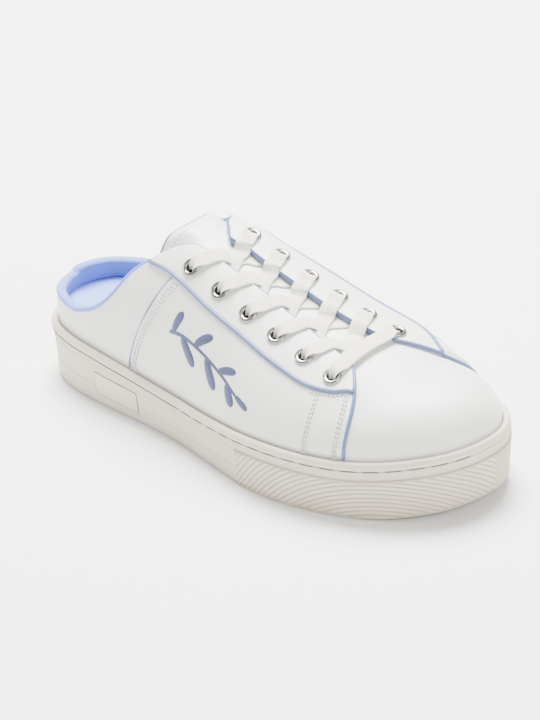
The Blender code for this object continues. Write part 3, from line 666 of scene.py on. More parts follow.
def stitches(name, seams, length, gap, radius, look="thread", holes=None):
    """Sewn seams: one joined mesh of short threads that dip into the leather at both ends."""
    points, faces, hole_shades, hole_shade_faces = [], [], [], []
    for path, normals in seams:
        both = even_path(np.concatenate([path, normals], axis=1), (length + gap) / 4)
        for i in range(0, len(both) - 4, 4):
            run = both[i : i + 4]
            arch = np.array([-0.7, 0.8, 0.8, -0.7])[:, None] * radius
            made, linked = tube_mesh(run[:, :3] + run[:, 3:] * arch, radius, 6, len(points))
            points.extend(made)
            faces.extend(linked)
            # a flat grey disc between each two threads: painted shade of the needle hole
            place, up = (run[3] + both[i + 4])[:3] / 2, unit(run[3, 3:])
            along = unit(both[i + 4, :3] - run[3, :3])
            across = np.cross(up, along)
            angles = np.arange(8) * np.pi / 4
            wide = radius * 1.25 * (np.cos(angles)[:, None] * along * 0.8 + np.sin(angles)[:, None] * across)
            hole_shade_faces.append(tuple(range(len(hole_shades), len(hole_shades) + 8)))
            hole_shades.extend(place + wide + up * 0.03 * MM)
    if holes:
        piece(holes, hole_shades, hole_shade_faces, "hole_shade")
    return piece(name, points, faces, look, angle=80)


# The upper


CREASES = (
    # side, share, rise, share, rise, width mm, depth mm
    (OUTER, 0.30, 0.46, 0.37, 0.22, 7.0, 0.45),
    (OUTER, 0.22, 0.22, 0.30, 0.10, 8.0, 0.35),
    (OUTER, 0.52, 0.40, 0.60, 0.16, 11.0, 0.40),
    (OUTER, 0.66, 0.40, 0.72, 0.14, 9.0, 0.45),
    (OUTER, 0.80, 0.80, 0.84, 0.40, 8.0, 0.35),
    (OUTER, 0.88, 0.70, 0.90, 0.30, 9.0, -0.30),
    (INNER, 0.30, 0.40, 0.38, 0.18, 8.0, 0.45),
    (INNER, 0.50, 0.42, 0.58, 0.15, 11.0, 0.40),
    (INNER, 0.64, 0.45, 0.72, 0.15, 9.0, 0.50),
    (INNER, 0.80, 0.85, 0.86, 0.40, 8.0, 0.40),
    (INNER, 0.88, 0.70, 0.92, 0.30, 9.0, -0.30),
)


def crease_depth(side, places):
    """How far the soft troughs of the leather lower it at places on the last."""
    depth = np.zeros(len(places))
    for at, share, rise, end_share, end_rise, width, amount in CREASES:
        if at != side:
            continue
        shares = np.linspace(share, end_share, 12)
        rises = np.linspace(rise, end_rise, 12)
        path = girth_point(side, turn_at(shares), rises)
        apart = np.linalg.norm(places[:, None] - path[None], axis=2)
        strength = np.sin(np.linspace(0.15, np.pi - 0.15, 12))
        near = np.exp(-((apart / (width * MM)) ** 2)) * strength[None]
        depth += near.max(axis=1) * amount * MM
    return depth


# How far the outer side's columns lean: share of the length at the foot, power of the lean
OUTER_LEAN = (
    (0.00, 1.0),
    (0.19, 1.05),
    (0.24, 1.15),
    (0.269, 1.2),
    (0.35, 1.3),
    (0.50, 1.6),
    (0.62, 2.2),
    (0.70, 2.8),
    (0.78, 3.3),
    (0.823, 3.6),
    (0.87, 3.0),
    (0.92, 2.0),
    (1.00, 1.0),
)


def column_head(foot):
    return smooth(turn_at(column(COLUMNS, 0)), turn_at(column(COLUMNS, 2)), foot)


def column_turn(side, foot, part):
    """Where a column stands at a part of its way up to the free edge."""
    feet = turn_at(column(COLUMNS, 0))
    start = foot if side == OUTER else smooth(feet, turn_at(column(COLUMNS, 1)), foot)
    lean = smooth(feet, column(COLUMNS, 3), foot)
    if side == OUTER:
        lean = smooth(turn_at(column(OUTER_LEAN, 0)), column(OUTER_LEAN, 1), foot)
    return start + (column_head(foot) - start) * clip(part, 0, 1) ** lean


def stay_rise(side, foot, limit):
    stay = 0.0
    for _ in range(14):
        turn = column_turn(side, foot, stay / limit)
        stay = min(float(edge_rise(STAY_EDGE, side, turn)), 0.96 * limit)
    return stay


LOW_ROWS, EDGE_ROWS, RIDGE_ROWS = 22, 12, 14
RIM_ROWS = 4
SEAM_WIDTH = 0.0011
STAY_WIDTH = 0.004


def upper_line(side, foot, panel):
    """Turns, rises and steps up one column, from inside the cup to its head or to the ridge."""
    head = float(column_head(foot))
    limit = float(edge_rise(TOP_EDGE, side, head))
    stay = stay_rise(side, foot, limit)
    low_step = {"heel": HEEL_STEP, "quarter": QUARTER_STEP, "vamp": 0.0}[panel]
    raised = float(ease((share_at(head) - STAY_START) / STAY_RISE)) if panel != "vamp" else 0.0
    high_step = low_step + (FACE - low_step) * raised
    low_turn = float(column_turn(side, foot, 0.3))
    lows = even_rises(side, low_turn, 0, stay, LOW_ROWS)
    highs = even_rises(side, head, stay + STAY_WIDTH * limit, limit, EDGE_ROWS)
    rises = np.concatenate([[-0.8], lows, highs])
    steps = np.concatenate([[0], low_step * ease(lows / SOLE_FADE), np.full(len(highs), high_step)])
    turns = column_turn(side, foot, rises / limit)
    if panel == "vamp":
        ridge = even_rises(side, head, limit, 1, RIDGE_ROWS)[1:]
        rises = np.concatenate([rises, ridge])
        steps = np.concatenate([steps, np.zeros(len(ridge))])
        turns = np.concatenate([turns, np.full(len(ridge), head)])
    return turns, rises, steps


def upper_feet():
    heel_seam, vamp_seam = float(turn_at(HEEL_SEAM)), float(turn_at(VAMP_SEAM))

    def spread(first, last, count):
        feet = np.linspace(first, last, 400)
        heads = column_head(feet)
        middles = feet + 2 * heads + 1.2 * clip((share_at(heads) - 0.29) / 0.13, 0, 1)
        return np.interp(np.linspace(middles[0], middles[-1], count), middles, feet)

    heel = [(foot, "heel") for foot in spread(0, heel_seam, 62)]
    quarter = [(foot, "quarter") for foot in spread(heel_seam + SEAM_WIDTH * 2, vamp_seam, 84)]
    vamp = [(foot, "vamp") for foot in spread(vamp_seam + SEAM_WIDTH * 2, np.pi, 56)]
    return heel + quarter + vamp


def make_upper():
    """One hollow wall with its panels as steps, blue cut edges and twelve holes."""
    feet = upper_feet()
    stations = ring_stations(feet)
    outer, inner, index, grid = [], [], {}, []
    for side, (foot, panel) in stations:
        turns, rises, steps = upper_line(side, float(foot), panel)
        base = last_point(side, turns, rises)
        steps = steps - crease_depth(side, base) * clip(rises / 0.1, 0, 1)
        face = last_point(side, turns, rises, steps)
        back = last_point(side, turns, rises, np.full(len(turns), -WALL))
        line = []
        for k in range(len(turns)):
            key = tuple(np.round(base[k] / 2e-6).astype(int))
            if key not in index:
                index[key] = len(outer)
                outer.append(face[k])
                inner.append(back[k])
            line.append(index[key])
        grid.append(line)
    quads = []
    for i, low in enumerate(grid):
        high = grid[(i + 1) % len(grid)]
        for row in range(min(len(low), len(high)) - 1):
            ring = list(dict.fromkeys((low[row], high[row], high[row + 1], low[row + 1])))
            if len(ring) > 2:
                quads.append(ring)
    used = {(a, b) for ring in quads for a, b in zip(ring, ring[1:] + ring[:1])}
    count = len(outer)
    points = outer + inner
    faces = [tuple(ring) for ring in quads] + [tuple(count + k for k in reversed(ring)) for ring in quads]
    before = {line[k]: line[k - 1] for line in grid for k in range(1, len(line))}
    rims = {}

    def rim(corner):
        """Points of the rounded cut edge between the outer and the inner face."""
        if corner not in rims:
            face, back = np.array(points[corner]), np.array(points[count + corner])
            away = unit(face - np.array(points[before[corner]])) if corner in before else np.zeros(3)
            half = np.linalg.norm(face - back) / 2
            made = [corner]
            for k in range(1, RIM_ROWS):
                part = k / RIM_ROWS
                points.append(face + (back - face) * part + away * half * 0.55 * np.sin(np.pi * part) ** 0.5)
                made.append(len(points) - 1)
            rims[corner] = [*made, count + corner]
        return rims[corner]

    first_rim = len(faces)
    for a, b in used:
        if (b, a) in used:
            continue
        left, right = rim(a), rim(b)
        faces += [(right[k], left[k], left[k + 1], right[k + 1]) for k in range(RIM_ROWS)]
    inside = (("trim", np.arange(first_rim, len(faces))), ("lining", np.arange(first_rim // 2, first_rim)))
    made = piece("leather_upper", points, faces, "leather", ["upper"], angle=32, extra=inside)
    holes = bpy.data.collections.new("eyelet_holes")
    bpy.context.scene.collection.children.link(holes)
    for row, i in eyelet_places():
        mesh = bpy.data.meshes.new("hole")
        bm = bmesh.new()
        hole_radius = BARREL_RADIUS + GAP
        bmesh.ops.create_cone(
            bm, cap_ends=True, segments=24, radius1=hole_radius, radius2=hole_radius, depth=12 * MM
        )
        bm.to_mesh(mesh)
        bm.free()
        hole = bpy.data.objects.new(f"hole_{row}_{i}", mesh)
        hole.matrix_world = eyelet_matrix((row, i))
        holes.objects.link(hole)
    cut_away(made, holes)
    return made


def cut_away(made, cutters):
    """Cuts the cutters from a piece, keeps the result as its mesh and clears the cutters away."""
    cut = made.modifiers.new("Cut", "BOOLEAN")
    cut.operand_type = "COLLECTION"
    cut.collection = cutters
    bpy.context.view_layer.update()
    result = bpy.data.meshes.new_from_object(made.evaluated_get(bpy.context.evaluated_depsgraph_get()))
    bm = bmesh.new()
    bm.from_mesh(result)
    bmesh.ops.dissolve_degenerate(bm, edges=bm.edges, dist=2e-6)
    bm.to_mesh(result)
    bm.free()
    result.validate()
    made.modifiers.remove(cut)
    made.data = result
    for cutter in list(cutters.objects):
        bpy.data.objects.remove(cutter)
    bpy.data.collections.remove(cutters)


# Eyelets

FLANGE_RADIUS = 4.7 * MM
FLANGE_HEIGHT = 0.9 * MM
BARREL_RADIUS = 3.1 * MM
BORE_RADIUS = 2.6 * MM
BARREL_DROP = 2.4 * MM


def eyelet_places():
    places = {}
    for row, ((top, top_across), (low, low_across)) in EYELET_ROWS.items():
        for i in range(EYELETS):
            part = i / (EYELETS - 1)
            places[row, i] = np.array([top + (low - top) * part, top_across + (low_across - top_across) * part])
    return places


def eyelet_matrix(key):
    share, across = eyelet_places()[key]
    points, normals = drape([share], [across], FACE)
    turn = Vector((0, 0, 1)).rotation_difference(Vector(normals[0]))
    return Matrix.Translation(Vector(points[0])) @ turn.to_matrix().to_4x4()


def make_eyelets():
    """Rolled rings with a barrel, all twelve in one mesh."""
    rest = 1.5 * GAP
    angles = np.linspace(0, np.pi, 11)
    middle = (FLANGE_RADIUS + BORE_RADIUS) / 2
    half = (FLANGE_RADIUS - BORE_RADIUS) / 2
    roll = [(middle + half * np.cos(a), rest + (FLANGE_HEIGHT + GAP - rest) * np.sin(a) ** 0.8) for a in angles]
    profile = [(BARREL_RADIUS, rest), *roll, (BORE_RADIUS, -BARREL_DROP), (BARREL_RADIUS, -BARREL_DROP)]
    sides = 40
    angles = np.arange(sides) * 2 * np.pi / sides
    points, faces, bores = [], [], []
    for key in eyelet_places():
        matrix = np.array(eyelet_matrix(key))
        # the faces of the bore take the near black: painted shade inside the barrel
        bores += range(len(faces) + len(roll) * sides, len(faces) + (len(roll) + 1) * sides)
        ring = np.array([[(r * np.cos(a), r * np.sin(a), z, 1) for a in angles] for r, z in profile])
        faces += grid_faces(len(profile), sides, len(points), close_rows=True, close_columns=True)
        points.extend((ring.reshape(-1, 4) @ matrix.T)[:, :3])
    # a near-black disc low in each barrel: painted shade where the hole goes dark
    shade_discs, shade_disc_faces = [], []
    for key in eyelet_places():
        matrix = np.array(eyelet_matrix(key))
        rim = BORE_RADIUS * 1.02
        disc = np.array([(rim * np.cos(a), rim * np.sin(a), -1.9 * MM, 1) for a in angles])
        shade_disc_faces.append(tuple(range(len(shade_discs), len(shade_discs) + sides)))
        shade_discs.extend((disc @ matrix.T)[:, :3])
    piece("eyelet_shade_discs", shade_discs, shade_disc_faces, "dark")
    names = [f"eyelet_{row}_{i + 1}" for row, i in eyelet_places()]
    return piece("eyelet_rings", points, faces, "eyelet", names, angle=50, extra=[("dark", bores)])


# Laces

LACE_WIDTH = 8.2 * MM
LACE_THICKNESS = 1.1 * MM
LACE_SECTION = 12


def edge_across(side, shares):
    turns = turn_at(shares)
    return last_point(side, turns, edge_rise(TOP_EDGE, side, turns))[..., 1]


def throat_edge(side, share):
    turn = turn_at(share)
    return float(last_point(side, turn, edge_rise(TOP_EDGE, side, turn))[1])


def ribbon(path, outs, widths, curls, first):
    """Points, faces and weave of a flat lace along a path in plan, at heights over the last."""
    centres, normals = drape(path[:, 0], path[:, 1], outs)
    along = unit(np.gradient(centres, axis=0))
    lateral = unit(np.cross(normals, along))
    lift = unit(np.cross(along, lateral))
    angles = np.arange(LACE_SECTION * 2) * np.pi / LACE_SECTION
    flat = np.sign(np.cos(angles)) * np.abs(np.cos(angles)) ** 0.45
    thick = np.sign(np.sin(angles)) * np.abs(np.sin(angles)) ** 0.7
    travelled = np.concatenate([[0], np.cumsum(np.linalg.norm(np.diff(centres, axis=0), axis=1))])
    points = []
    weave = []
    for i in range(len(centres)):
        side = flat * widths[i] / 2
        rise = thick * LACE_THICKNESS / 2 + curls[i] * flat**2
        points.extend(centres[i] + side[:, None] * lateral[i] + rise[:, None] * lift[i])
        weave.extend((LACE_WIDTH / 2 * f, travelled[i]) for f in flat)
    size = len(flat)
    faces = grid_faces(len(centres), size, first, close_columns=True)
    faces.append(tuple(first + j for j in range(size)))
    faces.append(tuple(first + (len(centres) - 1) * size + j for j in reversed(range(size))))
    return points, faces, weave


DIVE = (
    # distance before the eyelet's middle mm, height over the eyestay mm, width mm, curl mm
    (-0.9, -3.2, 3.0, 1.4),
    (0.0, -2.0, 3.3, 1.4),
    (0.7, -0.4, 3.8, 1.35),
    (1.5, 1.0, 4.6, 1.1),
    (2.6, 1.95, 6.0, 0.75),
    (4.2, 2.0, 7.4, 0.35),
    (6.0, 1.35, 8.1, 0.1),
    (8.0, 0.95, 8.2, 0.0),
)
FAR_REACH = 1.0 * MM
HIDDEN_START = 0.6 * MM
HIDDEN_SPREAD = 6 * MM
FAR_WIDTHS = (3.6, 4.4, 5.4, 6.4, 7.4, 8.0, 8.2, 8.2)


def dive(distance, name, far=False):
    values = FAR_WIDTHS if far and name == "width" else column(DIVE, {"height": 1, "width": 2, "curl": 3}[name])
    return np.interp((distance + far * FAR_REACH) / MM, column(DIVE, 0), values) * MM


def lace_run(hidden, shown, high_side, hump, first, crossing):
    """One lace from the underside of an eyelet, under its eyestay, over the throat and down into the next."""
    run = shown - hidden
    metres = np.linalg.norm(run * (SOLE_LENGTH, FOREFOOT_WIDTH))
    step = run / metres
    start = hidden - step * HIDDEN_START
    far = high_side == INNER
    end = shown + step * (0.9 * MM + far * FAR_REACH)
    total = np.linalg.norm((end - start) * (SOLE_LENGTH, FOREFOOT_WIDTH))
    distance = np.linspace(0, 1, 88) ** 0.85 * total
    path = start + step * distance[:, None]
    edges = np.array([throat_edge(high_side, share) for share, _ in path])
    beyond = (path[:, 1] * FOREFOOT_WIDTH - edges) * high_side
    left = total - distance - 0.9 * MM - far * FAR_REACH
    below = -WALL - LACE_THICKNESS * 0.55
    climb = ease((beyond + 7.5 * MM) / (7.5 * MM))
    outs = below + (FACE + dive(left, "height", far) - below) * climb
    over = np.exp(-(((path[:, 1] - crossing) * FOREFOOT_WIDTH) / (5 * MM)) ** 2)
    outs += hump * over * (left > 8 * MM)
    gathered = 1 - ease(distance / HIDDEN_SPREAD)
    widths = dive(left, "width", far) - (LACE_WIDTH - DIVE[1][2] * MM) * gathered
    return ribbon(path, outs, widths, dive(left, "curl", far), first)


def make_laces():
    places = eyelet_places()
    for i in range(EYELETS - 1):
        points, faces, weave = [], [], []
        middle = (throat_edge(OUTER, places["outer", i][0]) + throat_edge(INNER, places["outer", i][0])) / 2
        for hidden, shown, high, hump in (
            (("inner", i + 1), ("outer", i), OUTER, 0.0),
            (("outer", i + 1), ("inner", i), INNER, 1.25 * MM),
        ):
            made = lace_run(places[hidden], places[shown], high, hump, len(points), middle / FOREFOOT_WIDTH)
            points.extend(made[0])
            faces.extend(made[1])
            weave.extend(made[2])
        piece(f"lace_pair_{i + 1}", points, faces, "lace", [f"lace_crossing_{i + 1}"], angle=60, weave=weave)
    low, high = places["outer", EYELETS - 1], places["inner", EYELETS - 1]
    step = (high - low) / np.linalg.norm((high - low) * (SOLE_LENGTH, FOREFOOT_WIDTH))
    total = np.linalg.norm((high - low) * (SOLE_LENGTH, FOREFOOT_WIDTH))
    distance = total / 2 * (1 - np.cos(np.linspace(0, np.pi, 80)))
    path = low + step * distance[:, None]
    left = np.minimum(distance, total - distance)
    outs = FACE + dive(left, "height")
    points, faces, weave = ribbon(path, outs, dive(left, "width"), dive(left, "curl"), 0)
    piece("lace_bottom_bar", points, faces, "lace", ["lace_bar"], angle=60, weave=weave)


# Tongue, collar and footbed

TONGUE_THICKNESS = 3.2 * MM
TONGUE_RISE = 4.5 * MM
TONGUE_START = 0.79
TONGUE_FREE = 0.40
TONGUE_END = 0.325
TONGUE_REACH = (-34 * MM, 28 * MM)
TONGUE_FLARE = 0.022
TONGUE_UNDER = 9 * MM


def tongue_sheet(rows, parts, drop):
    """Points of the tongue's face, moved down by a depth."""
    end = TONGUE_END - TONGUE_FLARE * ease((0.5 - parts) / 0.3)
    shares = TONGUE_START + (end - TONGUE_START) * rows[:, None]
    low = edge_across(OUTER, shares)
    high = edge_across(INNER, shares)
    first = np.maximum(low - TONGUE_UNDER, TONGUE_REACH[0])
    last = np.minimum(high + TONGUE_UNDER, TONGUE_REACH[1])
    y = first + (last - first) * parts
    bow = TONGUE_RISE * ease((TONGUE_FREE - shares) / (TONGUE_FREE - TONGUE_END))
    free = ease((y - low - 1.5 * MM) / TONGUE_UNDER) * ease((np.minimum(high, last) - 1.5 * MM - y) / TONGUE_UNDER)
    edge = np.minimum(np.minimum(parts, 1 - parts) / 0.05, 1)
    outs = -(WALL + 1.15 * MM) + bow * free - drop * (0.35 + 0.65 * (1 - (1 - edge) ** 2))
    return drape(shares.ravel(), y.ravel() / FOREFOOT_WIDTH, outs.ravel())[0].reshape(*y.shape, 3)


def make_tongue():
    shares = np.linspace(0, 1, 70)
    parts = np.linspace(0, 1, 38)
    top = tongue_sheet(shares, parts, 0.0)
    bottom = tongue_sheet(shares, parts, TONGUE_THICKNESS)
    middle = (top + bottom) / 2
    for k, weight in ((-1, 1.0), (-2, 0.55), (-3, 0.25)):
        top[k] += (middle[k] - top[k]) * (0.55 * weight)
        bottom[k] += (middle[k] - bottom[k]) * (0.55 * weight)
    size = len(parts)
    loops = np.concatenate([top, bottom[:, ::-1]], axis=1)
    points = loops.reshape(-1, 3)
    faces = grid_faces(len(shares), 2 * size, 0, close_columns=True)
    last = (len(shares) - 1) * 2 * size
    for start, turned in ((0, False), (last, True)):
        for j in range(size - 1):
            ring = (start + j, start + j + 1, start + 2 * size - 2 - j, start + 2 * size - 1 - j)
            faces.append(ring[::-1] if turned else ring)
    made = piece("leather_tongue", points, faces, "leather", ["tongue"], angle=60)
    path = np.concatenate([top[30:, 0][:-1], top[-1], top[30:, -1][::-1][1:]])
    seam = np.concatenate([top[34:-3, 3], top[-4, 3:-3], top[34:-3, -4][::-1]])
    tubes("tongue_binding", [even_path(path, 1.2 * MM)], 0.38 * MM, "trim", sides=8)
    ups = np.tile((0.0, 0.0, 1.0), (len(seam), 1))
    stitches("tongue_stitches", [(seam, ups)], 1.7 * MM, 0.7 * MM, 0.2 * MM)


def insole_top(share):
    return cup_floor(share) + 5 * MM + 7 * MM * (1 - ease((share - 0.15) / 0.5))


def make_footbed():
    """A footbed dished along the foot, with a soft rolled edge."""
    turns = np.linspace(0, np.pi, 120)
    edge = LIP_WIDTH + SOLE_CLEARANCE + WALL + 2 * GAP
    stations = ring_stations(list(turns))
    sides = np.array([side for side, _ in stations])
    at = np.array([turn for _, turn in stations])
    shares = share_at(at)
    low, high = cup_floor(shares) + GAP, insole_top(shares)
    rings = []
    for inset, height in ((0.3, 0.0), (0.0, 0.0), (0.0, 0.6), (0.25, 0.86), (0.8, 0.97), (1.6, 1.0)):
        plan = np.array([outline(s, t, edge + inset * MM) for s, t in zip(sides, at)])
        rings.append(np.column_stack([plan, low + (high - low) * height]))
    crown = rings[-1]
    middle = np.array([(x, y, z) for x, y, z in crown])
    half = len(turns) - 1
    partner = [(2 * half - k) % (2 * half) for k in range(2 * half)]
    centre = (middle + middle[partner]) / 2
    for part in np.linspace(0, 1, 14)[1:]:
        ring = crown + (centre - crown) * part
        ring[:, 2] -= 1.3 * MM * ease(part) * clip(np.linalg.norm(crown - centre, axis=1) / (20 * MM), 0, 1)
        rings.append(ring)
    count = len(stations)
    faces = grid_faces(len(rings), count, 0, close_columns=True)
    faces.append(tuple(range(count)))
    made = piece("cloth_footbed", np.concatenate(rings), faces, "footbed", ["insole"], angle=50)


COLLAR_ROLL = 3.2 * MM
COLLAR_LOW = 0.15
COLLAR_END = 0.298
LINING = 1.4 * MM


# The roll's section as shares of its height: out from a face of the wall, up from its edge
ROLL_OUTSIDE = ((0.06, -0.12), (0.30, 0.10), (0.34, 0.42), (0.16, 0.75))
ROLL_TOP = ((-0.25, 0.97), (-0.8, 0.98))
ROLL_INSIDE = ((-0.22, 0.72), (-0.34, 0.3), (-0.2, -0.15))


def make_collar():
    """Heel lining that rolls over the top edge, its section smoothed, thinning towards the throat."""
    feet = [foot for foot, _ in upper_feet() if share_at(column_head(foot)) < COLLAR_END]
    path = [(INNER, foot) for foot in feet[:0:-1]] + [(OUTER, foot) for foot in feet]
    edges, outs = [], []
    for side, foot in path:
        turn = float(column_head(foot))
        rise = float(edge_rise(TOP_EDGE, side, turn))
        edges.append(last_point(side, turn, rise))
        outs.append(last_point(side, turn, rise, MM))
    edges = np.array(edges)
    normals = unit(np.array(outs) - edges)
    away = unit(np.cross(np.gradient(edges, axis=0), normals))
    away[away[:, 2] < 0] *= -1
    inside = -WALL - 2 * GAP
    rings = []
    for i, (side, foot) in enumerate(path):
        turn = float(column_head(foot))
        share = share_at(turn)
        rise = float(edge_rise(TOP_EDGE, side, turn))
        roll = 0.86 * COLLAR_ROLL * (1 - 0.45 * ease((share - COLLAR_LOW) / (COLLAR_END - COLLAR_LOW)))
        floor = float(insole_top(share)) + 0.2 * MM
        rises = np.linspace(0, 0.7, 300)
        heights = girth_point(side, np.full(300, turn), rises)[:, 2]
        bottom = min(float(np.interp(floor, heights, rises)), rise - 0.02)
        wall = even_rises(side, turn, bottom, rise, 7)[:-1]
        shape = [(HEEL_STEP + out * roll, up * roll) for out, up in ROLL_OUTSIDE]
        shape += [(out * roll, up * roll) for out, up in ROLL_TOP]
        shape += [(inside - LINING + out * roll, up * roll) for out, up in ROLL_INSIDE]
        inner_wall = list(last_point(side, turn, wall[::-1], np.full(len(wall), inside - LINING)))
        back = list(last_point(side, turn, wall, np.full(len(wall), inside)))
        section = [edges[i] + normals[i] * out + away[i] * up for out, up in shape] + inner_wall + back
        section += [edges[i] + normals[i] * out + away[i] * 0.1 * MM for out in (inside, HEEL_STEP)]
        rings.append(section)
    rings = np.array(rings)
    count = rings.shape[1]
    for _ in range(2):
        smooth_part = (rings[:, np.r_[1:9]] * 2 + rings[:, np.r_[0:8]] + rings[:, np.r_[2:10]]) / 4
        rings[:, 1:9] = smooth_part
    points = rings.reshape(-1, 3)
    faces = grid_faces(len(rings), count, 0, close_columns=True)
    faces.append(tuple(range(count)))
    faces.append(tuple((len(rings) - 1) * count + j for j in reversed(range(count))))
    made = piece("padded_collar", points, faces, "lining", ["heel_collar"], angle=60)


# Trim on the upper


def on_upper(side, shares, rises, out):
    turns = turn_at(np.asarray(shares, float))
    points = last_point(side, turns, rises, np.full(len(turns), out))
    normals = unit(last_point(side, turns, rises, np.full(len(turns), out + MM)) - points)
    return points, normals


def seam_places(side, foot_share, count=60, low=0.0, high=1.0):
    foot = float(turn_at(foot_share))
    limit = float(edge_rise(TOP_EDGE, side, float(column_head(foot))))
    stay = stay_rise(side, foot, limit)
    rises = even_rises(side, foot, max(low, 0.001), stay * high, count)
    return column_turn(side, foot, rises / limit), rises


def seam_line(side, foot_share, out, count=60, high=1.0):
    turns, rises = seam_places(side, foot_share, count, high=high)
    points = last_point(side, turns, rises, np.full(len(turns), out))
    normals = unit(last_point(side, turns, rises, np.full(len(turns), out + MM)) - points)
    return points, normals


def whole_seam(side, foot_share, low_out, high_out):
    """A seam line that runs on past the eyestay's corner up to the free edge."""
    foot = float(turn_at(foot_share))
    limit = float(edge_rise(TOP_EDGE, side, float(column_head(foot))))
    stay = stay_rise(side, foot, limit)
    rises = even_rises(side, foot, 0.001, limit * 0.985, 80)
    turns = column_turn(side, foot, rises / limit)
    outs = low_out + (high_out - low_out) * ease((rises - stay) / 0.03 + 0.5)
    return last_point(side, turns, rises, outs)


def make_trim():
    piping, shadows, thin, band, tab, sewn = [], [], [], [], [], []
    for side in (OUTER, INNER):
        seam_foot = float(turn_at(VAMP_SEAM))
        limit = float(edge_rise(TOP_EDGE, side, float(column_head(seam_foot))))
        stay = stay_rise(side, seam_foot, limit)
        front = float(share_at(column_turn(side, seam_foot, stay / limit)))
        shares = np.linspace(0.336, front, 160)
        rises = edge_rise(STAY_EDGE, side, turn_at(shares))
        points, _ = on_upper(side, shares, rises, QUARTER_STEP + 0.7 * MM)
        top = np.array([0.2975])
        corner, _ = on_upper(side, top, edge_rise(TOP_EDGE, side, turn_at(top)), HEEL_STEP + 0.4 * MM)
        piping.append(even_path(np.concatenate([corner, points]), 1.4 * MM))
        # thin dark cords just under and just over the piping: painted shadow of the piping
        shadow, _ = on_upper(side, shares, rises - 0.0115, QUARTER_STEP + 0.02 * MM)
        shadows.append(even_path(shadow, 1.4 * MM))
        shadow, _ = on_upper(side, shares, rises + 0.011, FACE - 0.05 * MM)
        shadows.append(even_path(shadow, 1.4 * MM))
        below = (shares > front - 0.078) & (shares < front - 0.012)
        sewn.append(on_upper(side, shares[below], rises[below] - 0.034, QUARTER_STEP + 0.05 * MM))
        edge, _ = seam_line(side, HEEL_SEAM + 0.0015, HEEL_STEP + 0.3 * MM)
        thin.append(even_path(edge, 1.2 * MM))
        for offset in (0.0105, 0.0180):
            sewn.append(seam_line(side, HEEL_SEAM + offset, QUARTER_STEP + 0.05 * MM, high=0.965))
        band.append(even_path(whole_seam(side, VAMP_SEAM + 0.0009, 0.35 * MM, FACE - 0.75 * MM), 1.2 * MM))
        for offset in (0.0125, 0.0178, 0.072, 0.0773):
            sewn.append(seam_line(side, VAMP_SEAM - offset, QUARTER_STEP + 0.05 * MM, high=0.95))
        shares = np.linspace(0.30, 0.757, 200)
        turns = turn_at(shares)
        rises = edge_rise(TOP_EDGE, side, turns)
        outs = HEEL_STEP + (FACE - HEEL_STEP) * ease((shares - STAY_START) / STAY_RISE) - 0.35 * MM
        points = last_point(side, turns, rises, outs)
        thin.append(even_path(points, 1.0 * MM))
        if side == INNER:
            chosen = (shares > 0.345) & (shares < 0.41)
            edge = last_point(side, turns[chosen], rises[chosen], outs[chosen] - 0.6 * MM)
            tab.append(even_path(edge, 1.0 * MM))
    tubes("eyestay_piping", piping, 1.0 * MM, "trim", sides=12)
    # the two lines beside the piping, in the dark slate: painted shadow
    tubes("piping_shadow_lines", shadows, 0.24 * MM, "seam", sides=6)
    tubes("thin_edging", thin, 0.42 * MM, "trim", sides=8)
    tubes("tab_edging", tab, 1.05 * MM, "trim", sides=10)
    tubes("vamp_piping", band, 0.95 * MM, "trim", sides=10)
    stitches("upper_stitches", sewn, 1.45 * MM, 0.75 * MM, 0.36 * MM, holes="needle_hole_shade")


SPRIG_STEM = ((0.385, 0.30), (0.43, 0.325), (0.485, 0.32), (0.535, 0.285), (0.575, 0.235))
SPRIG_LEAVES = (
    # place on the stem, side of the stem, length mm, turn degrees
    (0.06, 1, 13, 62),
    (0.20, -1, 14, 58),
    (0.36, 1, 15, 54),
    (0.52, -1, 15, 56),
    (0.68, 1, 13, 50),
    (0.84, -1, 12, 48),
    (1.00, 0, 11, 0),
)
LEAF_WIDTH = 2.35 * MM
LOW_LEAF = 1.45
STEM_WIDTH = 0.9 * MM


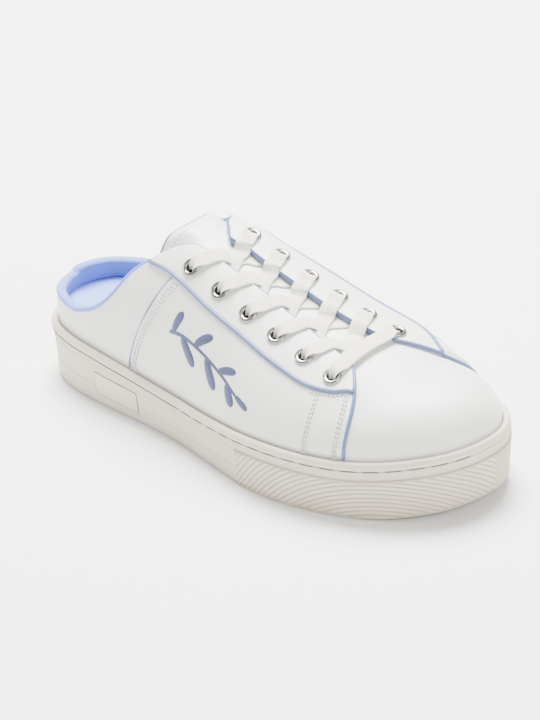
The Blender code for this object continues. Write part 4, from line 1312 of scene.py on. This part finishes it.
def make_sprig():
    """A plain leaf sprig printed on the outer quarter."""
    keys = np.array(SPRIG_STEM)
    at = np.linspace(0, len(keys) - 1, 60)
    stem = np.column_stack([smooth(np.arange(len(keys)), keys[:, k], at) for k in (0, 1)])
    path = last_point(OUTER, turn_at(stem[:, 0]), stem[:, 1])
    rise_size = np.linalg.norm(girth_point(OUTER, turn_at(0.47), 0.33) - girth_point(OUTER, turn_at(0.47), 0.25)) / 0.08

    def to_surface(flat):
        """Millimetres along the shoe and up its side, from the middle of the print."""
        return 0.47 + flat[:, 0] / SOLE_LENGTH, 0.28 + flat[:, 1] / rise_size

    flat_stem = np.column_stack([(stem[:, 0] - 0.47) * SOLE_LENGTH, (stem[:, 1] - 0.28) * rise_size])
    strokes = [(flat_stem, np.full(60, STEM_WIDTH))]
    heading = np.gradient(flat_stem, axis=0)
    for part, hand, length, turn in SPRIG_LEAVES:
        k = int(part * 59)
        angle = np.arctan2(heading[k, 1], heading[k, 0]) + hand * np.radians(turn)
        s = np.linspace(0, 1, 26)
        bend = hand * -0.16 * s**2
        leaf = flat_stem[k] + length * MM * np.column_stack(
            [s * np.cos(angle) - bend * np.sin(angle), s * np.sin(angle) + bend * np.cos(angle)]
        )
        fullness = (1 - np.abs(2 * s**0.85 - 1) ** 3.5) ** 0.6 * (0.72 + 0.28 * s)
        strokes.append((leaf, (LOW_LEAF if hand < 0 else 1.0) * LEAF_WIDTH * fullness + 0.05 * MM))
    points, faces = [], []
    for line, widths in strokes:
        along = unit(np.gradient(line, axis=0))
        across = np.column_stack([-along[:, 1], along[:, 0]])
        first = len(points)
        parts = np.array([-1, -0.92, 0, 0.92, 1])
        heights = np.array([-0.05, 0.14, 0.16, 0.14, -0.05]) * MM
        for part, height in zip(parts, heights):
            shares, rises = to_surface(line + across * (widths * part)[:, None])
            turns = turn_at(shares)
            base = last_point(OUTER, turns, rises)
            outs = QUARTER_STEP + height - crease_depth(OUTER, base)
            points.extend(last_point(OUTER, turns, rises, outs))
        faces += grid_faces(len(parts), len(line), first)
    piece("printed_sprig", points, faces, "ink", angle=60)


# The sole

RIB_PITCH = 2.4 * MM
RIB_DEPTH = 0.5 * MM
RIB_CENTRE_DROP = 60 * MM
RIB_TOE_REACH = 62 * MM
RIB_CENTRE = {OUTER: 0.88, INNER: 0.907}
RIB_ZONE_START = 0.585
RIB_STEPS = 6
FIXED_ROWS = 7 + 21
EDGE_BEVEL = 1.2 * MM


def rib_reach(side, turns):
    path = outline(side, np.linspace(0, np.pi, 600))
    lengths = np.concatenate([[0], np.cumsum(np.linalg.norm(np.diff(path, axis=0), axis=1))])
    at = np.interp(turns, np.linspace(0, np.pi, 600), lengths)
    start = np.interp(turn_at(RIB_CENTRE[side]), np.linspace(0, np.pi, 600), lengths)
    return (at - start) * RIB_TOE_REACH / (lengths[-1] - start)


# Insets, as shares of the band's inset or in mm, and heights over the groove or the lip's top in mm
GROOVE = ((0.9, -0.6), (1.3, -0.2), (2.0, 0.0), (1.3, 0.25))
LIP_SIDE = ((0.35, 0.55), (0.05, 1.2), (0.0, 2.2))
LIP_TOP = ((0.2, -1.1), (0.65, -0.4), (1.3, -0.08), (2.0, 0.0), (2.8, -0.25), (3.4, -0.8))


def round_profile(share, ribbed, reach):
    """Insets and heights of the sole's section, from the bottom over the lip into the cup."""
    low = float(ground_clearance(share))
    top = float(lip_top(share))
    groove = top - LIP_HEIGHT
    ledge = groove - BAND_HEIGHT
    proud = 0.0 if ribbed else BAND_INSET
    foot = low + EDGE_BEVEL
    head = ledge - EDGE_BEVEL / 2
    edge = float(wall_inset(share, low))
    profile = [(edge + proud + 4 * EDGE_BEVEL, low), (edge + proud + 1.6 * EDGE_BEVEL, low)]
    for a in np.linspace(0.15, 1, 5) * np.pi / 2:
        profile.append((edge + proud + EDGE_BEVEL * (1 - np.sin(a)), low + EDGE_BEVEL * (1 - np.cos(a))))
    far = np.hypot(RIB_TOE_REACH * 1.6, RIB_CENTRE_DROP + SIDE_HEIGHT)
    count = int((far - RIB_CENTRE_DROP) / RIB_PITCH * RIB_STEPS)
    parting = low + (head - low) * 0.52
    for i in range(count):
        radius = RIB_CENTRE_DROP + i * RIB_PITCH / RIB_STEPS
        if ribbed:
            height = np.sqrt(max(radius**2 - reach**2, 0)) - RIB_CENTRE_DROP
            free = foot < height < head
            wave = 0.5 + 0.5 * np.cos(2 * np.pi * i / RIB_STEPS)
            relief = RIB_DEPTH * (1 - wave**0.7) if free else RIB_DEPTH
            height = float(clip(height, foot, head))
        else:
            height = foot + (head - foot) * i / (count - 1)
            relief = 0.28 * MM * np.exp(-(((height - parting) / (0.28 * MM)) ** 2))
        profile.append((float(wall_inset(share, height)) + proud + relief, height))
    lift = proud + (RIB_DEPTH if ribbed else 0.0)
    profile += [(lift, head), (proud + 0.02 * MM, head + 0.35 * MM), (proud, ledge - 0.2 * MM)]
    profile += [(max(proud, 0.2 * MM), ledge)]
    profile += [(BAND_INSET * inset, ledge + up * MM) for inset, up in ((0.75, 0.12), (0.9, 0.5))]
    profile += [(BAND_INSET * inset, groove + up * MM) for inset, up in GROOVE]
    profile += [(inset * MM, groove + up * MM) for inset, up in LIP_SIDE]
    profile += [(inset * MM, top + up * MM) for inset, up in LIP_TOP]
    profile += [(LIP_WIDTH, top - 1.6 * MM), (LIP_WIDTH, float(cup_floor(share)))]
    return profile


def make_sole():
    """The cup sole with its lip, groove, band, ribs, tread and the seat of the side plate."""
    zone = float(turn_at(RIB_ZONE_START))
    heel_turns = np.linspace(0, zone, 105)
    zone_turns = np.linspace(zone + 0.0035, np.pi, 120)
    turns = np.concatenate([heel_turns, zone_turns])
    reach = {side: dict(zip(turns, rib_reach(side, turns))) for side in (OUTER, INNER)}
    stations = ring_stations(list(turns))
    columns = []
    for side, turn in stations:
        profile = np.array(round_profile(float(share_at(turn)), turn >= zone_turns[0], reach[side][turn]))
        plan = outline(side, np.full(len(profile), turn), profile[:, 0])
        columns.append(np.column_stack([plan, profile[:, 1]]))
    rings = np.array(columns).transpose(1, 0, 2)
    size, count = rings.shape[:2]
    faces = grid_faces(size, count, 0, close_columns=True)
    half = len(turns) - 1
    for first in (0, (size - 1) * count):
        for k in range(half):
            faces.append((first + k, first + k + 1, first + (2 * half - k - 1) % count, first + (2 * half - k) % count))
    ribs = size - FIXED_ROWS
    # the faces down in the ribs' grooves take a darker rubber: painted shade in the grooves
    grooves = [k for k in range(ribs) if k % RIB_STEPS in (2, 3)]
    inside = [j for j, (side, turn) in enumerate(stations) if turn >= zone_turns[0]]
    shaded = [(7 + k) * count + j for k in grooves for j in inside]
    points = rings.reshape(-1, 3)
    made = piece("rubber_cup_sole", points, faces, "rubber", ["cup_sole"], angle=38, extra=[("groove", shaded)])
    cutters = bpy.data.collections.new("sole_cutters")
    bpy.context.scene.collection.children.link(cutters)
    for first, last in ((0.07, 0.32), (0.52, 0.84)):
        grooves = int((last - first) * SOLE_LENGTH / (11 * MM))
        for i in range(grooves + 1):
            share = first + (last - first) * i / grooves
            outer, inner = outline(OUTER, turn_at(share), 10 * MM), outline(INNER, turn_at(share), 10 * MM)
            middle = (outer + inner) / 2
            mesh = bpy.data.meshes.new("tread")
            bm = bmesh.new()
            bmesh.ops.create_cube(bm, size=1)
            depth = 2 * (1.6 * MM + float(ground_clearance(share)))
            bmesh.ops.scale(bm, vec=(3.2 * MM, inner[1] - outer[1], depth), verts=bm.verts)
            bmesh.ops.translate(bm, vec=(middle[0], middle[1], 0), verts=bm.verts)
            bm.to_mesh(mesh)
            bm.free()
            cutters.objects.link(bpy.data.objects.new("tread", mesh))
    pocket = plate_mesh("pocket", GAP, -2 * MM, PLATE_THICKNESS + GAP)
    cutters.objects.link(bpy.data.objects.new("pocket", pocket))
    cut_away(made, cutters)


PLATE_LENGTH = 31.5 * MM
PLATE_HEIGHT = 11.5 * MM
PLATE_THICKNESS = 1.0 * MM
PLATE_CENTRE = 0.235
PLATE_LIFT = 0.58


def plate_mesh(name, grow, outer_depth, inner_depth):
    half = (PLATE_LENGTH / 2 + grow) / SOLE_LENGTH
    shares = np.linspace(PLATE_CENTRE - half, PLATE_CENTRE + half, 33)
    rows = []
    for share in shares:
        low = ground_clearance(share)
        span = lip_top(share) - LIP_HEIGHT - BAND_HEIGHT - low
        centre = low + span * PLATE_LIFT
        heights = np.linspace(centre - PLATE_HEIGHT / 2 - grow, centre + PLATE_HEIGHT / 2 + grow, 9)
        loop = [(h, outer_depth) for h in heights] + [(h, inner_depth) for h in heights[::-1]]
        row = []
        for height, depth in loop:
            x, y = outline(OUTER, turn_at(share), wall_inset(share, height) + BAND_INSET + depth)
            row.append((x, y, height))
        rows.append(row)
    rows = np.array(rows)
    count = rows.shape[1]
    faces = grid_faces(len(rows), count, 0, close_columns=True)
    for start in (0, (len(rows) - 1) * count):
        for j in range(8):
            faces.append((start + j, start + j + 1, start + count - 2 - j, start + count - 1 - j))
    mesh = bpy.data.meshes.new(name)
    mesh.from_pydata([tuple(p) for p in rows.reshape(-1, 3)], [], faces)
    bm = bmesh.new()
    bm.from_mesh(mesh)
    bmesh.ops.recalc_face_normals(bm, faces=bm.faces)
    bm.to_mesh(mesh)
    bm.free()
    return mesh


def make_plate():
    mesh = plate_mesh("side_plate_face", 0.0, -0.1 * MM, PLATE_THICKNESS)
    mesh.materials.append(LOOKS["plate"])
    made = bpy.data.objects.new("plain_side_plate", mesh)
    bpy.context.scene.collection.objects.link(made)
    edge = made.modifiers.new("Edge", "BEVEL")
    edge.width = 0.22 * MM
    edge.segments = 2
    edge.limit_method = "ANGLE"
    edge.angle_limit = np.radians(40)
    mesh.shade_smooth()
    mesh.set_sharp_from_angle(angle=np.radians(40))
    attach(made, "root")
    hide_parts("side_plate")
    half = PLATE_LENGTH / 2 + GAP * 0.6
    shares = PLATE_CENTRE + np.linspace(-half, half, 30) / SOLE_LENGTH
    low = ground_clearance(shares)
    centre = low + (lip_top(shares) - LIP_HEIGHT - BAND_HEIGHT - low) * PLATE_LIFT
    top = centre + PLATE_HEIGHT / 2 + GAP * 0.6
    side_heights = np.linspace(top[-1], centre[-1] - PLATE_HEIGHT / 2, 12)
    places = [*zip(shares, top), *((shares[-1], height) for height in side_heights)]
    line = [(*outline(OUTER, turn_at(at), wall_inset(at, height) + BAND_INSET), height) for at, height in places]
    tubes("plate_shadow", [even_path(line, 1.5 * MM)], 0.3 * MM, "taupe", sides=6)


DASH_START = 0.42
DASH_PITCH = 11
DASH_LENGTH = 9


def groove_path(side, first, last, inset):
    turns = np.linspace(float(turn_at(first)), float(turn_at(last)), 500)
    plan = outline(side, turns, np.full(500, inset))
    return np.column_stack([plan, lip_top(share_at(turns)) - LIP_HEIGHT + 0.12 * MM])


def make_groove_shade_and_stitches():
    """Painted shade in the groove under the lip: a whole line along the heel half, and round the forefoot dashes for
    the stitches sewn in the groove, dark with the same painted shade.
    """
    lines = []
    for side in (OUTER, INNER):
        lines.append(even_path(groove_path(side, 0.0, DASH_START, 0.32 * MM), 3 * MM))
        path = even_path(groove_path(side, DASH_START, 0.998, 0.3 * MM), 1 * MM)
        for i in range(2, len(path) - 9, DASH_PITCH):
            lines.append(path[i : i + DASH_LENGTH])
    tubes("groove_shade_and_stitches", lines, 0.3 * MM, "taupe", sides=6)


# Camera, light and floor

VIEW_AZIMUTH = 44.9
VIEW_ELEVATION = 28.2
VIEW_ROLL = -5.2
VIEW_DISTANCE = 2.357
PHOTO_CENTRE = (0.0, -0.0035, 0.02)
PHOTO_AIM = (-0.0425, 0.0341)
LENS = 184 * 1.33


SHOE_AIM = (0.0, 0.004, 0.036)


def view_axes():
    azimuth, elevation, roll = np.radians([VIEW_AZIMUTH, VIEW_ELEVATION, VIEW_ROLL])
    back = np.array([np.sin(azimuth) * np.cos(elevation), -np.cos(azimuth) * np.cos(elevation), np.sin(elevation)])
    right = np.array([np.cos(azimuth), np.sin(azimuth), 0.0])
    up = np.cross(back, right)
    return right * np.cos(roll) + up * np.sin(roll), up * np.cos(roll) - right * np.sin(roll), back


def make_camera():
    """The photograph's own viewpoint, turned to centre the one shoe."""
    right, up, back = view_axes()
    eye = np.array(PHOTO_CENTRE) - right * PHOTO_AIM[0] + up * PHOTO_AIM[1] + back * VIEW_DISTANCE
    target = np.array(SHOE_AIM)
    back = unit(eye - target)
    right = unit(right - back * (right @ back))
    up = np.cross(back, right)
    data = bpy.data.cameras.new("camera")
    data.lens = LENS
    data.sensor_width = 36
    camera = bpy.data.objects.new("camera", data)
    axes = np.column_stack([right, up, back, eye])
    camera.matrix_world = Matrix([*axes.tolist(), (0, 0, 0, 1)])
    bpy.context.scene.collection.objects.link(camera)
    bpy.context.scene.camera = camera


def make_light(name, place, target, size, watts):
    data = bpy.data.lights.new(name, "AREA")
    data.shape = "DISK"
    data.size = size
    data.energy = watts
    light = bpy.data.objects.new(name, data)
    light.location = place
    light.rotation_euler = (Vector(target) - Vector(place)).to_track_quat("-Z", "Y").to_euler()
    bpy.context.scene.collection.objects.link(light)


def make_stage():
    mesh = bpy.data.meshes.new("floor")
    mesh.from_pydata([(-6, -6, 0), (6, -6, 0), (6, 6, 0), (-6, 6, 0)], [], [(0, 1, 2, 3)])
    floor_paint = Paint("pale_floor", (0.86, 0.86, 0.855), 0.75, specular=0.2)
    mesh.materials.append(floor_paint.material)
    floor = bpy.data.objects.new("floor", mesh)
    bpy.context.scene.collection.objects.link(floor)
    world = bpy.data.worlds.new("studio")
    bpy.context.scene.world = world
    world.use_nodes = True
    world.node_tree.nodes["Background"].inputs[0].default_value = (1.0, 1.0, 1.0, 1)
    world.node_tree.nodes["Background"].inputs[1].default_value = 0.62
    make_light("top_light", (-0.45, 0.55, 1.7), (0, 0, 0), 1.2, 225)
    make_light("toe_light", (1.2, -0.4, 0.9), (0, 0, 0.04), 0.8, 16)
    make_light("heel_light", (-1.3, -0.9, 0.8), (0, 0, 0.04), 0.8, 10)


make_stage()
make_camera()
make_upper()
make_eyelets()
make_laces()
make_tongue()
make_footbed()
make_collar()
make_trim()
make_sprig()
make_sole()
make_plate()
make_groove_shade_and_stitches()
